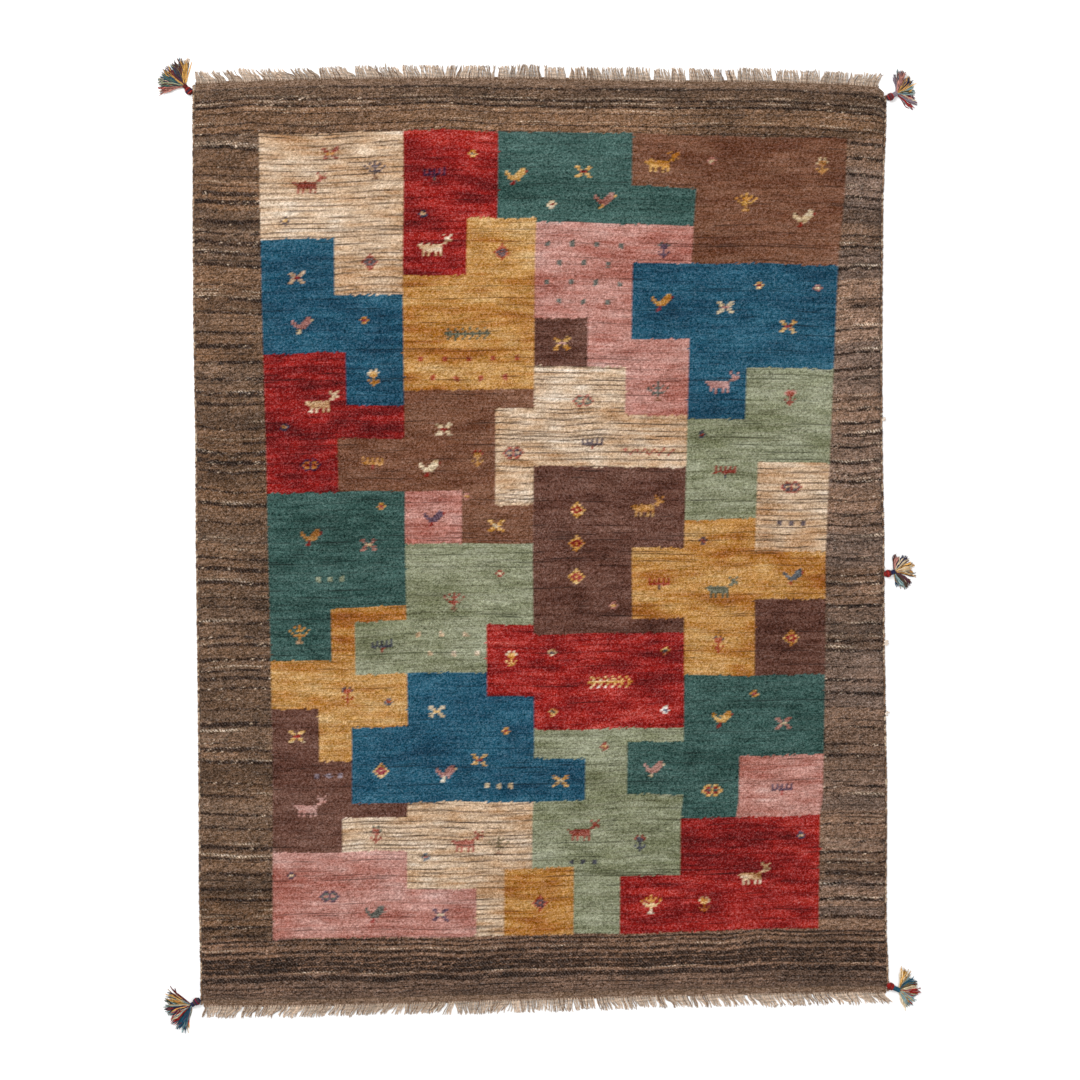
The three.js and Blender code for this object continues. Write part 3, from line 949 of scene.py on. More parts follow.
pile_wool = wool_material("pile_wool", tuft=1.3, row=0.4, fibre=1.7, bump=1.0, shade=0.6)
border_pile_wool = wool_material(
    "border_pile_wool", tuft=1.5, row=0.3, fibre=2.5, bump=1.0, shade=0.6, strokes=0.8
)
web_wool = wool_material("web_wool", tuft=1.5, row=0.6, fibre=2.2, bump=0.8)
yarn_wool = wool_material("yarn_wool", tuft=0.3, row=0.2, fibre=0.9, bump=0.6)
print("materials:", pile_wool.name, border_pile_wool.name, web_wool.name, yarn_wool.name)

# %% [markdown]
# ## Knotting the pile
# The pile is one grid with a column of faces for each knot and two rows of faces for each row of knots,
# so that a crest of tuft tips stands between two furrows. Its points are moved as a sheet of numbers: down
# along the sides, where the pile rolls off, up and down from knot to knot, and deeper where rows part.

# %% Heights of the pile
WEB_TOP = 3 * MM
FURROW = 1.0 * MM
FURROW_GAIN = 1.3
KNOT_RISE = 0.9 * MM
SLOW_RISE = 0.7 * MM
PARTING = 2.2 * MM
PARTED_SHARE = 0.3
PARTED_DEPTHS = (0.4, 1)
FLAT_SIDE = 12 * MM
SIDE_DEPTH = 0.4
JITTER = 0.55 * MM
ROW_JITTER = 0.6
RIM_JITTER = 2.2
RAGGED = 2.4 * MM
RIM_ROWS = 3
SIDE_ROLL = {"at": [0, 3, 8, 20], "out": [7, 9.8, 11.6, 12]}
END_ROLL = {"at": [0, 2, 6, 12, 26], "out": [4.8, 7.4, 10.2, 11.6, 12]}
points_x, points_y = rug_place(column, half_row / 2)
from_side = np.minimum(points_x - along(LEFT_EDGE, points_y), along(RIGHT_EDGE, points_y) - points_x)
from_end = np.minimum(points_y - along(BOTTOM_EDGE, points_x), along(TOP_EDGE, points_x) - points_y)
side_height = along(SIDE_ROLL, from_side - PILE_SIDE_INSET)
rolled = np.minimum(side_height, along(END_ROLL, from_end - END_WEB))
in_furrow = half_row % 2 == 0
parted_rows = (rng.random(ROWS + 1) < PARTED_SHARE) * rng.uniform(*PARTED_DEPTHS, ROWS + 1)
parted_rows = np.repeat(parted_rows, 2)[: HALF_ROWS + 1]
parted = patchy(soft_noise(GRID, (2, 11)), gain=2.6, gap=1.1) * parted_rows[:, None] * in_furrow
depth = FURROW_GAIN * FURROW * in_furrow * soft_noise(GRID, (2, 5)) + PARTING * parted
depth = depth + KNOT_RISE * rng.random(GRID) + SLOW_RISE * soft_noise(GRID, (9, 7))
heights = rolled - depth * np.clip(from_side / FLAT_SIDE, SIDE_DEPTH, 1)
hollow = np.clip(depth / (FURROW + PARTING), 0, 1) * np.clip(from_web / RIM_ROWS, 0, 1)
is_inner = (column > 0) & (column < COLUMNS) & (half_row > 0) & (half_row < HALF_ROWS)
jitter = JITTER * np.where(is_inner, 1.0, RIM_JITTER)
points_x = points_x + jitter * rng.uniform(-1, 1, GRID)
points_y = points_y + ROW_JITTER * jitter * rng.uniform(-1, 1, GRID)
ragged = RAGGED * (soft_noise(GRID, (3, 2)) - 0.4) * np.clip(1 - from_web / RIM_ROWS, 0, 1)
points_y = points_y + np.where(half_row < ROWS, -1, 1) * ragged
print("pile from", round(heights.min() / MM, 1), "to", round(heights.max() / MM, 1), "mm")

# %% [markdown]
# Short helpers read and write a mesh as sheets of numbers: its points, the corners of its faces, and the
# values, colours and maps that it holds.

# %% Helpers for meshes


def set_points(mesh, x, y, z):
    """Moves all the points of a mesh."""
    places = np.stack([np.ravel(x), np.ravel(y), np.ravel(z)], axis=1)
    mesh.vertices.foreach_set("co", places.astype(np.float32).ravel())
    mesh.update()


def get_points(mesh):
    """The places of all the points of a mesh, one row for each."""
    flat = np.empty(3 * len(mesh.vertices), np.float32)
    mesh.vertices.foreach_get("co", flat)
    return flat.reshape(-1, 3)


def corner_points(mesh):
    """The index of the point at each face corner."""
    index = np.empty(len(mesh.loops), np.int32)
    mesh.loops.foreach_get("vertex_index", index)
    return index


def face_of_corner(mesh):
    """The index of the face of each face corner."""
    sizes = np.empty(len(mesh.polygons), np.int32)
    mesh.polygons.foreach_get("loop_total", sizes)
    return np.repeat(np.arange(len(sizes)), sizes)


def set_float(mesh, name, values):
    """A number for each point of a mesh."""
    layer = mesh.attributes.new(name, "FLOAT", "POINT")
    layer.data.foreach_set("value", np.ravel(values).astype(np.float32))


def get_float(mesh, name):
    """The number that each point of a mesh holds."""
    values = np.empty(len(mesh.vertices), np.float32)
    mesh.attributes[name].data.foreach_get("value", values)
    return values


def set_dye(mesh, colours):
    """A colour for each point of a mesh, in linear light."""
    layer = mesh.color_attributes.new("dye", "FLOAT_COLOR", "POINT")
    full = np.concatenate([colours, np.ones((len(colours), 1))], axis=1)
    layer.data.foreach_set("color", full.astype(np.float32).ravel())


def set_map(mesh, name, u, v):
    """A UV map from the two values of each face corner."""
    layer = mesh.uv_layers.get(name) or mesh.uv_layers.new(name=name)
    layer.data.foreach_set("uv", np.stack([u, v], axis=1).astype(np.float32).ravel())


# %% [markdown]
# A primitive grid is added and its points are carried to the places worked out above. The same step lays
# on it the colours and the count of knots as a UV map.

# %% The grid of the pile


def add_grid(name, columns, rows):
    """A grid primitive, and for each of its points its place in columns and rows."""
    bpy.ops.mesh.primitive_grid_add(x_subdivisions=columns, y_subdivisions=rows, size=1, calc_uvs=False)
    made = bpy.context.object
    made.name = name
    made.data.name = name
    at = get_points(made.data) + 0.5
    return made, np.rint(at[:, 0] * columns).astype(int), np.rint(at[:, 1] * rows).astype(int)


pile, at_column, at_half_row = add_grid("pile_field_lower", COLUMNS, HALF_ROWS)
mesh = pile.data
at_knot = (at_half_row, at_column)
set_points(mesh, points_x[at_knot], points_y[at_knot], heights[at_knot])
set_float(mesh, "hollow", hollow[at_knot])
set_float(mesh, "column", at_column)
set_float(mesh, "row", at_half_row / 2)
set_float(mesh, "strokes", strokes[at_knot])
set_dye(mesh, dye[at_knot])
corners = corner_points(mesh)
set_map(mesh, "knots", at_column[corners], at_half_row[corners] / 2)
mesh.materials.append(pile_wool)
print("faces:", len(mesh.polygons))

# %% [markdown]
# The pile is parted into three pieces: the border, and the lower and the upper half of the field.

# %% Parting the pile
HALF_FIELD_ROW = ROWS // 2


def select_only(*pieces):
    """Selects some pieces and nothing else, and makes the first of them the active one."""
    bpy.ops.object.select_all(action="DESELECT")
    for piece in pieces:
        piece.select_set(True)
    bpy.context.view_layer.objects.active = pieces[0]


def part_off(source, faces, name):
    """Takes some faces of a piece off into a piece of their own."""
    select_only(source)
    bpy.ops.object.mode_set(mode="EDIT")
    bpy.ops.mesh.select_mode(type="FACE")
    bpy.ops.mesh.select_all(action="DESELECT")
    bpy.ops.object.mode_set(mode="OBJECT")
    source.data.polygons.foreach_set("select", faces)
    bpy.ops.object.mode_set(mode="EDIT")
    bpy.ops.mesh.separate(type="SELECTED")
    bpy.ops.object.mode_set(mode="OBJECT")
    made = [o for o in bpy.context.selected_objects if o != source][0]
    made.name = name
    made.data.name = name
    return made


def face_mask(mesh, low_column, high_column, low_row, high_row):
    """The faces that lie between two columns and two rows of knots."""
    corners = corner_points(mesh)
    columns = get_float(mesh, "column")[corners].reshape(-1, 4).mean(axis=1)
    rows = get_float(mesh, "row")[corners].reshape(-1, 4).mean(axis=1)
    across = (columns > low_column) & (columns < high_column)
    return across & (rows > low_row) & (rows < high_row)


in_field = face_mask(mesh, COLUMN_STOPS[1], COLUMN_STOPS[2], ROW_STOPS[1], ROW_STOPS[2])
pile_border = part_off(pile, ~in_field, "pile_border")
pile_upper = part_off(pile, face_mask(pile.data, 0, COLUMNS, HALF_FIELD_ROW, ROWS), "pile_field_upper")
pile_border.data.materials[0] = border_pile_wool
pile_pieces = [pile_border, pile, pile_upper]
print("pieces of pile:", len(pile_pieces))

# %% [markdown]
# Each piece gets a wall: the rim of its surface is extruded down to the foundation, where the tufts are
# tied, and closed below. Along the outer sides the wall leans out, because tufts there have no neighbour to
# hold them up. A plain map for baking is laid on at the same time.

# %% Closing the pile
BASE_LEAN = 1.3 * MM
SMOOTH_BELOW = math.radians(75)
MAP_TOP = 0.95
MAP_STRIP = (0.96, 0.99)
WALL_SLOPE = 0.3
WALL_FOLD = 6 * MM
HAIRLINE = 0.01 * MM


def face_outwards():
    """Turns all faces of the mesh that is being edited outwards, and leaves edit mode."""
    bpy.ops.mesh.select_all(action="SELECT")
    bpy.ops.mesh.normals_make_consistent(inside=False)
    bpy.ops.object.mode_set(mode="OBJECT")


def close_down(piece):
    """Extrudes the rim of a pile surface down to the foundation and closes it there."""
    select_only(piece)
    bpy.ops.object.mode_set(mode="EDIT")
    bpy.ops.mesh.select_mode(type="EDGE")
    bpy.ops.mesh.select_all(action="DESELECT")
    bpy.ops.mesh.select_non_manifold(
        extend=False, use_wire=False, use_multi_face=False, use_non_contiguous=False
    )
    bpy.ops.mesh.extrude_region_move(TRANSFORM_OT_translate={"value": (0, 0, -MM)})
    bpy.ops.object.mode_set(mode="OBJECT")
    low = np.empty(len(piece.data.vertices), bool)
    piece.data.vertices.foreach_get("select", low)
    at = get_points(piece.data)
    sides, rows = get_float(piece.data, "column"), get_float(piece.data, "row")
    at[low, 0] += BASE_LEAN * ((sides[low] == 0) * 1.0 - (sides[low] == COLUMNS))
    at[low, 1] += BASE_LEAN * ((rows[low] == 0) * 1.0 - (rows[low] == ROWS))
    at[low, 2] = WEB_TOP
    piece.data.vertices.foreach_set("co", at.ravel())
    bpy.ops.object.mode_set(mode="EDIT")
    bpy.ops.mesh.fill(use_beauty=False)
    face_outwards()
    bpy.ops.object.shade_smooth_by_angle(angle=SMOOTH_BELOW)


def map_for_baking(piece):
    """A plain map seen from above: walls fold outwards, and the hidden underside has a strip of its own."""
    mesh = piece.data
    at = get_points(mesh)[corner_points(mesh)]
    ways = np.empty(3 * len(mesh.polygons), np.float32)
    mesh.polygons.foreach_get("normal", ways)
    way = ways.reshape(-1, 3)[face_of_corner(mesh)]
    is_wall = np.abs(way[:, 2]) < WALL_SLOPE
    is_low = at[:, 2] < WEB_TOP + HAIRLINE
    fold = np.where(is_wall & is_low, WALL_FOLD, 0.0)
    spread = at[:, :2] + way[:, :2] * fold[:, None]
    low, size = spread.min(axis=0), np.ptp(spread, axis=0)
    place = (spread - low) / size
    below = way[:, 2] < -0.5
    strip = MAP_STRIP[0] + place[:, 1] * (MAP_STRIP[1] - MAP_STRIP[0])
    v = np.where(below, strip, place[:, 1] * MAP_TOP)
    set_map(mesh, "OFBake", place[:, 0], v)
    mesh.uv_layers["knots"].active = True
    mesh.uv_layers["knots"].active_render = True


for piece in pile_pieces:
    close_down(piece)
    map_for_baking(piece)
    print(piece.name, "faces:", len(piece.data.polygons))

# %% [markdown]
# ## The foundation
# Under the pile lies the web: warps, wefts and the backs of the knots, about 3 mm thick. On its underside
# the design shows again, as on every hand-knotted rug. At both ends it runs on past the pile as a narrow
# flat-woven band, ribbed by its wefts. It is the cloth of the rug.

# %% The web with its flat-woven ends
CORD_WIDTH = 6 * MM
CLEARANCE = 0.3 * MM
WEB_INSET = CORD_WIDTH + CLEARANCE
END_RIBS = 10
RIB_HEIGHT = 0.7 * MM
RIB_SMOOTH_BELOW = math.radians(60)
WEB_STEP = 2
web_columns, web_rows = COLUMNS // WEB_STEP, ROWS // WEB_STEP
web, web_column, web_row = add_grid("woven_web", web_columns, web_rows + 2 * END_RIBS)
pile_row = np.clip((web_row - END_RIBS) * WEB_STEP, 0, ROWS)
x, y = rug_place(web_column * WEB_STEP, pile_row)
into_end = np.maximum(END_RIBS - web_row, web_row - END_RIBS - web_rows).clip(0) / END_RIBS
y = y + np.where(web_row < END_RIBS, -1, 1) * END_WEB * into_end
pile_left, pile_right = (rug_place(np.full(x.shape, side), pile_row)[0] for side in (0, COLUMNS))
web_left, web_right = along(LEFT_EDGE, y) + WEB_INSET, along(RIGHT_EDGE, y) - WEB_INSET
x = web_left + (x - pile_left) * (web_right - web_left) / (pile_right - pile_left)
set_points(web.data, x, y, 0 * x)
set_float(web.data, "rib", into_end * END_RIBS)
bpy.ops.object.mode_set(mode="EDIT")
bpy.ops.mesh.select_all(action="SELECT")
bpy.ops.mesh.extrude_region_move(TRANSFORM_OT_translate={"value": (0, 0, WEB_TOP)})
face_outwards()
at = get_points(web.data)
rib = get_float(web.data, "rib")
is_top = at[:, 2] > 0.5 * WEB_TOP
at[is_top, 2] -= RIB_HEIGHT * (rib[is_top] % 2 == 1)
set_points(web.data, at[:, 0], at[:, 1], at[:, 2])
bpy.ops.object.shade_smooth_by_angle(angle=RIB_SMOOTH_BELOW)
print("web faces:", len(web.data.polygons))

# %% [markdown]
# The web takes the colours of the knots over it, and the brown of its wefts at the ends. Its own points
# tell it which knots those are: the copy that the extrusion made lies right over the first sheet.

# %% Colours of the web
WEFT_TONES = (0.6, 1.35)
web_points = len(web.data.vertices)
over_column = np.resize(web_column * WEB_STEP, web_points)
over_row = np.resize((web_row - END_RIBS) * WEB_STEP, web_points)
web_dye = dye[(2 * over_row).clip(0, HALF_ROWS), over_column]
kilim = wool_colour("kilim") * rng.uniform(*WEFT_TONES, (web_points, 1))
is_end = (over_row < 0) | (over_row > ROWS)
web_dye = np.where(is_end[:, None], kilim, web_dye)
set_dye(web.data, web_dye)
web_corners = corner_points(web.data)
set_map(web.data, "knots", over_column[web_corners], over_row[web_corners])
web.data.materials.append(web_wool)
print("web points:", web_points)

# %% [markdown]
# ## Yarn
# Fringes, tassels and the overcasting are all made of yarn. One short ring of a rod is modelled, an Array
# modifier stacks it into a rod and a second one lays out as many rods as are needed. Each rod is then
# carried along a path of its own: the functions below give every point its share of the way along its rod
# and its place round it.

# %% Rods of yarn
PATH_STEP = 0.01
YARN_SMOOTH_BELOW = math.radians(70)
KNOT_LENGTH = 3 * MM
FLOOR_GAP = 0.1 * MM


def add_rods(name, count, sides, rings):
    """Many equal closed rods in one mesh, and for each point of each rod its share along it and its turn."""
    bpy.ops.mesh.primitive_cylinder_add(vertices=sides, radius=1, depth=1, end_fill_type="NOTHING")
    made = bpy.context.object
    made.name = name
    made.data.name = name
    stack = made.modifiers.new("stack", "ARRAY")
    stack.count = rings
    stack.relative_offset_displace = (0, 0, 1)
    stack.use_merge_vertices = True
    bpy.ops.object.modifier_apply(modifier="stack")
    bpy.ops.object.mode_set(mode="EDIT")
    bpy.ops.mesh.select_all(action="SELECT")
    bpy.ops.mesh.fill_holes(sides=0)
    face_outwards()
    if count > 1:
        lay = made.modifiers.new("lay", "ARRAY")
        lay.count = count
        lay.relative_offset_displace = (2, 0, 0)
        bpy.ops.object.modifier_apply(modifier="lay")
    at = get_points(made.data).reshape(count, -1, 3)
    along_rod = (at[..., 2] + 0.5) / rings
    middle = at[..., 0].mean(axis=1, keepdims=True)
    turn = np.arctan2(at[..., 1], at[..., 0] - middle)
    return made, along_rod, turn


def tube_places(path, share, turn, wide, high, twist=0.0):
    """Places round a path. path(share) gives x, y and z, and wide and high are the half axes there."""
    x, y, z = path(share)
    ahead = path(np.minimum(share + PATH_STEP, 1))
    behind = path(np.maximum(share - PATH_STEP, 0))
    way_x, way_y = ahead[0] - behind[0], ahead[1] - behind[1]
    long = np.hypot(way_x, way_y) + 1e-12
    side = wide * np.cos(turn) * np.cos(twist) - high * np.sin(turn) * np.sin(twist)
    up = wide * np.cos(turn) * np.sin(twist) + high * np.sin(turn) * np.cos(twist)
    return x + side * way_y / long, y - side * way_x / long, z + up


def dress_rods(piece, share, turn, colours, length):
    """Gives each rod its colour, and counts knots along and round it for the wool's tone."""
    mesh = piece.data
    corners = corner_points(mesh)
    rods = np.repeat(np.arange(share.shape[0]), share.shape[1])
    set_dye(mesh, colours[rods])
    around = 3.7 * rods + np.ravel(turn) / np.pi
    set_map(mesh, "knots", around[corners], np.ravel(share)[corners] * length / KNOT_LENGTH)
    mesh.materials.append(yarn_wool)
    bpy.ops.object.shade_smooth_by_angle(angle=YARN_SMOOTH_BELOW)


def join(first, others):
    """Joins pieces into the first."""
    select_only(first, *others)
    bpy.ops.object.join()
    return first


# %% [markdown]
# ## Overcast sides
# Along each long side a few warps are wrapped closely with brown yarn into a round cord, which guards the
# edge. The cord is one long rod, with a ridge for every turn of the wrapping.

# %% Side cords
WRAP_PITCH = 4.4 * MM
RINGS_PER_WRAP = 2
CORD_SWAY = 0.7 * MM
WRAP_LEAN = 0.25 * WRAP_PITCH
CORD_SIDES = 10
VALLEY = 0.7
RIDGE = 1.04
SWELL = 0.14
CORD_INSET = 0.46 * CORD_WIDTH
CORD_MIDDLE = 0.47 * CORD_WIDTH
CORD_FLATNESS = 0.94
WRAP_TONES = (0.85, 1.2)
VALLEY_SHADE = 0.25
WRAPPING = {"border": 0.35, "pale_brown": 0.2, "light_brown": 0.3, "dark_brown": 0.15}
SIDE_CORDS = [
    # name, node, edge, side, from, to
    ("overcast_left", "side_cord_left", LEFT_EDGE, 1, -1009, 994),
    ("overcast_right", "side_cord_right", RIGHT_EDGE, -1, -979, 971),
]


def by_group(group, low, high):
    """One random value for each group, given to all its members."""
    return rng.uniform(low, high, group.max() + 1)[group]


def overcast(name, edge, inward, start, end):
    """A side cord: an oval rod along an edge, ridged by its wrapping."""
    length = (end - start) * MM
    rings = RINGS_PER_WRAP * int(length / WRAP_PITCH)
    cord, share, turn = add_rods(name, 1, CORD_SIDES, rings)
    ring = np.rint(share * rings)
    is_valley = ring % RINGS_PER_WRAP == 0
    wrap = (ring / RINGS_PER_WRAP).astype(int)
    swell = by_group(wrap, -1, 1)
    half = 0.5 * CORD_WIDTH * np.where(is_valley, VALLEY, RIDGE) * (1 + SWELL * swell)
    lean = WRAP_LEAN * np.cos(turn)
    sway = CORD_SWAY * by_group(wrap, -1, 1)

    def path(s):
        y = start * MM + length * s
        return along(edge, y) + inward * CORD_INSET, y, CORD_MIDDLE + 0 * y

    x, y, z = tube_places(path, share, turn, half, CORD_FLATNESS * half)
    set_points(cord.data, x + sway, y + lean, np.maximum(z, 0))
    tones = np.array([wool_colour(shade) for shade in WRAPPING])
    mesh = cord.data
    corners = corner_points(mesh)
    patch = (np.ravel(share) * rings / RINGS_PER_WRAP).astype(int)
    picked = rng.choice(len(tones), size=patch.max() + 1, p=list(WRAPPING.values()))
    tone = by_group(patch, *WRAP_TONES) * (1 - VALLEY_SHADE * is_valley.ravel())
    set_dye(mesh, tones[picked[patch]] * tone[:, None])
    set_map(mesh, "knots", np.ravel(turn)[corners], patch[corners])
    mesh.materials.append(yarn_wool)
    bpy.ops.object.shade_smooth_by_angle(angle=YARN_SMOOTH_BELOW)
    return cord


cords = []
for name, node, edge, inward, start, end in SIDE_CORDS:
    cord = overcast(name, edge, inward, start, end)
    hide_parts(node)
    cords.append(cord)
    print(name, "faces:", len(cord.data.polygons))

# %% [markdown]
# ## Fringes
# The warps of undyed wool run on past the woven ends and are cut short. They hang together in small
# clumps and lean the way that the rug was last brushed or folded. Here and there a gap is left between them.

# %% Places and leans of the warp ends
FRINGE_PITCH = 2.0 * MM
FRINGE_SHIFT = 0.3
MEAN_LENGTH = 28 * MM
CLUMP_LEAN = 6
OWN_LEAN = 4
GATHER = 0.24
GAP_WIDTH = 6 * MM
GAP_CLEAR = 0.4 * GAP_WIDTH
GAP_LEAN = 7


def fringe_roots(start, end, gaps):
    """The places of the warp ends along an edge, and how far each is from the nearest gap."""
    at = np.arange(start * MM, end * MM, FRINGE_PITCH)
    at = at + rng.uniform(-FRINGE_SHIFT, FRINGE_SHIFT, len(at)) * FRINGE_PITCH
    from_gap = at[:, None] - np.array(gaps)[None, :] * MM
    nearest = np.abs(from_gap).argmin(axis=1)
    from_gap = from_gap[np.arange(len(at)), nearest]
    clear = np.abs(from_gap) > GAP_CLEAR
    return at[clear], from_gap[clear]


def fringe_leans(at, from_gap, clump, leans, outward):
    """The lean of every warp end in radians: of its stretch of the edge, of its clump, and its own."""
    clump_lean = by_group(clump, -CLUMP_LEAN, CLUMP_LEAN)
    middle = np.bincount(clump, at) / np.bincount(clump)
    gathered = np.degrees(GATHER * (middle[clump] - at) / MEAN_LENGTH)
    aside = GAP_LEAN * np.sign(from_gap) * np.exp(-np.abs(from_gap) / GAP_WIDTH) * outward
    own = rng.uniform(-OWN_LEAN, OWN_LEAN, len(at))
    return np.radians(along(leans, at) / MM + clump_lean + gathered + aside + own)[:, None]


# %% [markdown]
# Each warp end is a twisted rod that leaves the edge of the band, bends into its lean and sinks to the
# floor. Neighbours lie in three layers, and one in seven is of a darker wool.

# %% Warp ends
FRINGE_RINGS = 7
FRINGE_SIDES = 5
FRINGE_LENGTHS = (27, 31)
CLUMP_BREAK = 0.065
CLUMP_GAP = 0.8 * GAP_WIDTH
CLUMP_LENGTHS = (0.88, 1.05)
CLUMP_TONES = (0.9, 1.08)
WARP_BEND = 0.22
WARP_LIFT = 1.4 * MM
WARP_LAYER = 1.1 * MM
WARP_RADII = (1.05, 1.45)
WARP_TONES = (0.6, 1.12)
DARK_WARPS = 0.14
WARP_FLATNESS = 0.7
ROOT_INSET = 1.0 * MM
ROOT_HEIGHT = 0.8 * MM
ROOT_LEAN = 0.15
LEAN_GAIN = 1.7
LAYER_DROP = 0.6
TIP_SHARE = 0.99
TIP_RADIUS = 0.5
TWIST_DEPTH = 0.2
TWIST_WAVES = 9
TWIST = 11
WAVE_SHIFT = 900
TWIST_SHIFT = 40
WARP_COUNT_LENGTH = 25 * MM


def warp_fringe(name, edge, leans, gaps, outward, start, end, bright):
    """Short twisted yarns along an end, in clumps."""
    at, from_gap = fringe_roots(start, end, gaps)
    count = len(at)
    after_gap = np.diff(at, prepend=at[0]) > CLUMP_GAP
    clump = np.cumsum((rng.random(count) < CLUMP_BREAK) | after_gap)
    lean = fringe_leans(at, from_gap, clump, leans, outward)
    reach = (rng.uniform(*FRINGE_LENGTHS, count) * by_group(clump, *CLUMP_LENGTHS))[:, None] * MM
    reach = reach / np.cos(0.7 * lean)
    bend = rng.uniform(-WARP_BEND, WARP_BEND, (count, 1))
    lift = rng.uniform(0, 1, (count, 1)) * WARP_LIFT
    layer = (np.arange(count) % 3)[:, None] * WARP_LAYER
    thick = rng.uniform(*WARP_RADII, (count, 1)) * MM
    fringe, share, turn = add_rods(name, count, FRINGE_SIDES, FRINGE_RINGS)
    root_x = at[:, None]
    root_y = along(edge, root_x) - outward * ROOT_INSET

    def path(s):
        angle = lean * np.clip(LEAN_GAIN * s, ROOT_LEAN, 1) + bend * s * s
        far = reach * s
        z = thick + layer * (1 - LAYER_DROP * s)
        z = z + ROOT_HEIGHT * (1 - s) ** 3 + lift * np.sin(np.pi * s) ** 2
        return root_x + far * np.sin(angle), root_y + outward * far * np.cos(angle), z

    tapered = np.where(share > TIP_SHARE, TIP_RADIUS, 1.0)
    half = thick * tapered * (1 + TWIST_DEPTH * np.sin(TWIST_WAVES * share + WAVE_SHIFT * root_x))
    twist = TWIST * share + TWIST_SHIFT * root_x
    x, y, z = tube_places(path, share, turn, half, WARP_FLATNESS * half, twist)
    set_points(fringe.data, x, y, np.maximum(z, FLOOR_GAP))
    tone = bright * rng.uniform(*WARP_TONES, (count, 1)) * by_group(clump, *CLUMP_TONES)[:, None]
    is_dark = (rng.random(count) < DARK_WARPS)[:, None]
    colours = np.where(is_dark, wool_colour("light_brown"), wool_colour("warp")) * tone
    dress_rods(fringe, share, turn, colours, WARP_COUNT_LENGTH)
    return fringe


# %% [markdown]
# A thin twined cord holds the roots of each fringe at the edge of the band. The tables give the leans of
# the warp ends, in degrees, and the gaps between them, at places in millimetres.

# %% Twining and the two fringes
TWINING_PITCH = 2.5 * MM
TWINING_SIDES = 6
TWINING_RADIUS = 1.6 * MM
TWINING_OUT = 0.9 * MM
TWINING_HEIGHT = 1.7 * MM
TWINING_PAST = 3
TWINING_COUNT_LENGTH = 1.5
KNOB_SWELL = 0.25
KNOB_TURN = 0.9 * np.pi
TOP_LEAN = {
    "at": [-755, -680, -540, -330, -150, 120, 420, 620, 740],
    "out": [-22, -36, -38, -24, 10, -8, -14, 6, 26],
}
BOTTOM_LEAN = {"at": [-735, -560, -300, -60, 200, 480, 750], "out": [-16, -34, -26, -6, 22, 28, 36]}
TOP_GAPS = [-682, -607, -98, 4, 58, 242, 320, 402, 508]
BOTTOM_GAPS = [-648, -606, -548, -452, -205, 118, 322, 445, 590]
FRINGES = [
    # name, node, edge, leans, gaps, outward, left end, right end, tone
    ("warp_fringe_top", "fringe_top", TOP_EDGE, TOP_LEAN, TOP_GAPS, 1, -750, 733, 1.0),
    ("warp_fringe_bottom", "fringe_bottom", BOTTOM_EDGE, BOTTOM_LEAN, BOTTOM_GAPS, -1, -731, 748, 1.14),
]


def twining(name, edge, outward, start, end):
    """The twined cord that holds the roots of a fringe."""
    rings = int((end - start) * MM / TWINING_PITCH)
    twined, share, turn = add_rods(name, 1, TWINING_SIDES, rings)

    def path(s):
        x = (start - TWINING_PAST) * MM + (end - start + 2 * TWINING_PAST) * MM * s
        return x, along(edge, x) + outward * TWINING_OUT, TWINING_HEIGHT + 0 * x

    knobs = TWINING_RADIUS * (1 + KNOB_SWELL * np.sin(np.rint(share * rings) * KNOB_TURN))
    x, y, z = tube_places(path, share, turn, knobs, knobs)
    set_points(twined.data, x, y, np.maximum(z, 0))
    dress_rods(twined, share, turn, wool_colour("kilim")[None, :] * 1.1, TWINING_COUNT_LENGTH)
    return twined


fringes = []
for name, node, edge, leans, gaps, outward, start, end, bright in FRINGES:
    fringe = warp_fringe(name, edge, leans, gaps, outward, start, end, bright)
    fringe = join(fringe, [twining(name + "_twining", edge, outward, start, end)])
    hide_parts(node)
    fringes.append(fringe)
    print(name, "faces:", len(fringe.data.polygons))

# %% [markdown]
# ## Tassels
# A tassel is a hank of short yarns in many colours, drawn through the corner, wound into a knot and bound
# round its neck. Its yarns are cut to nearly one length and fan out on the floor. The table gives places and
# reaches in millimetres and angles in degrees.

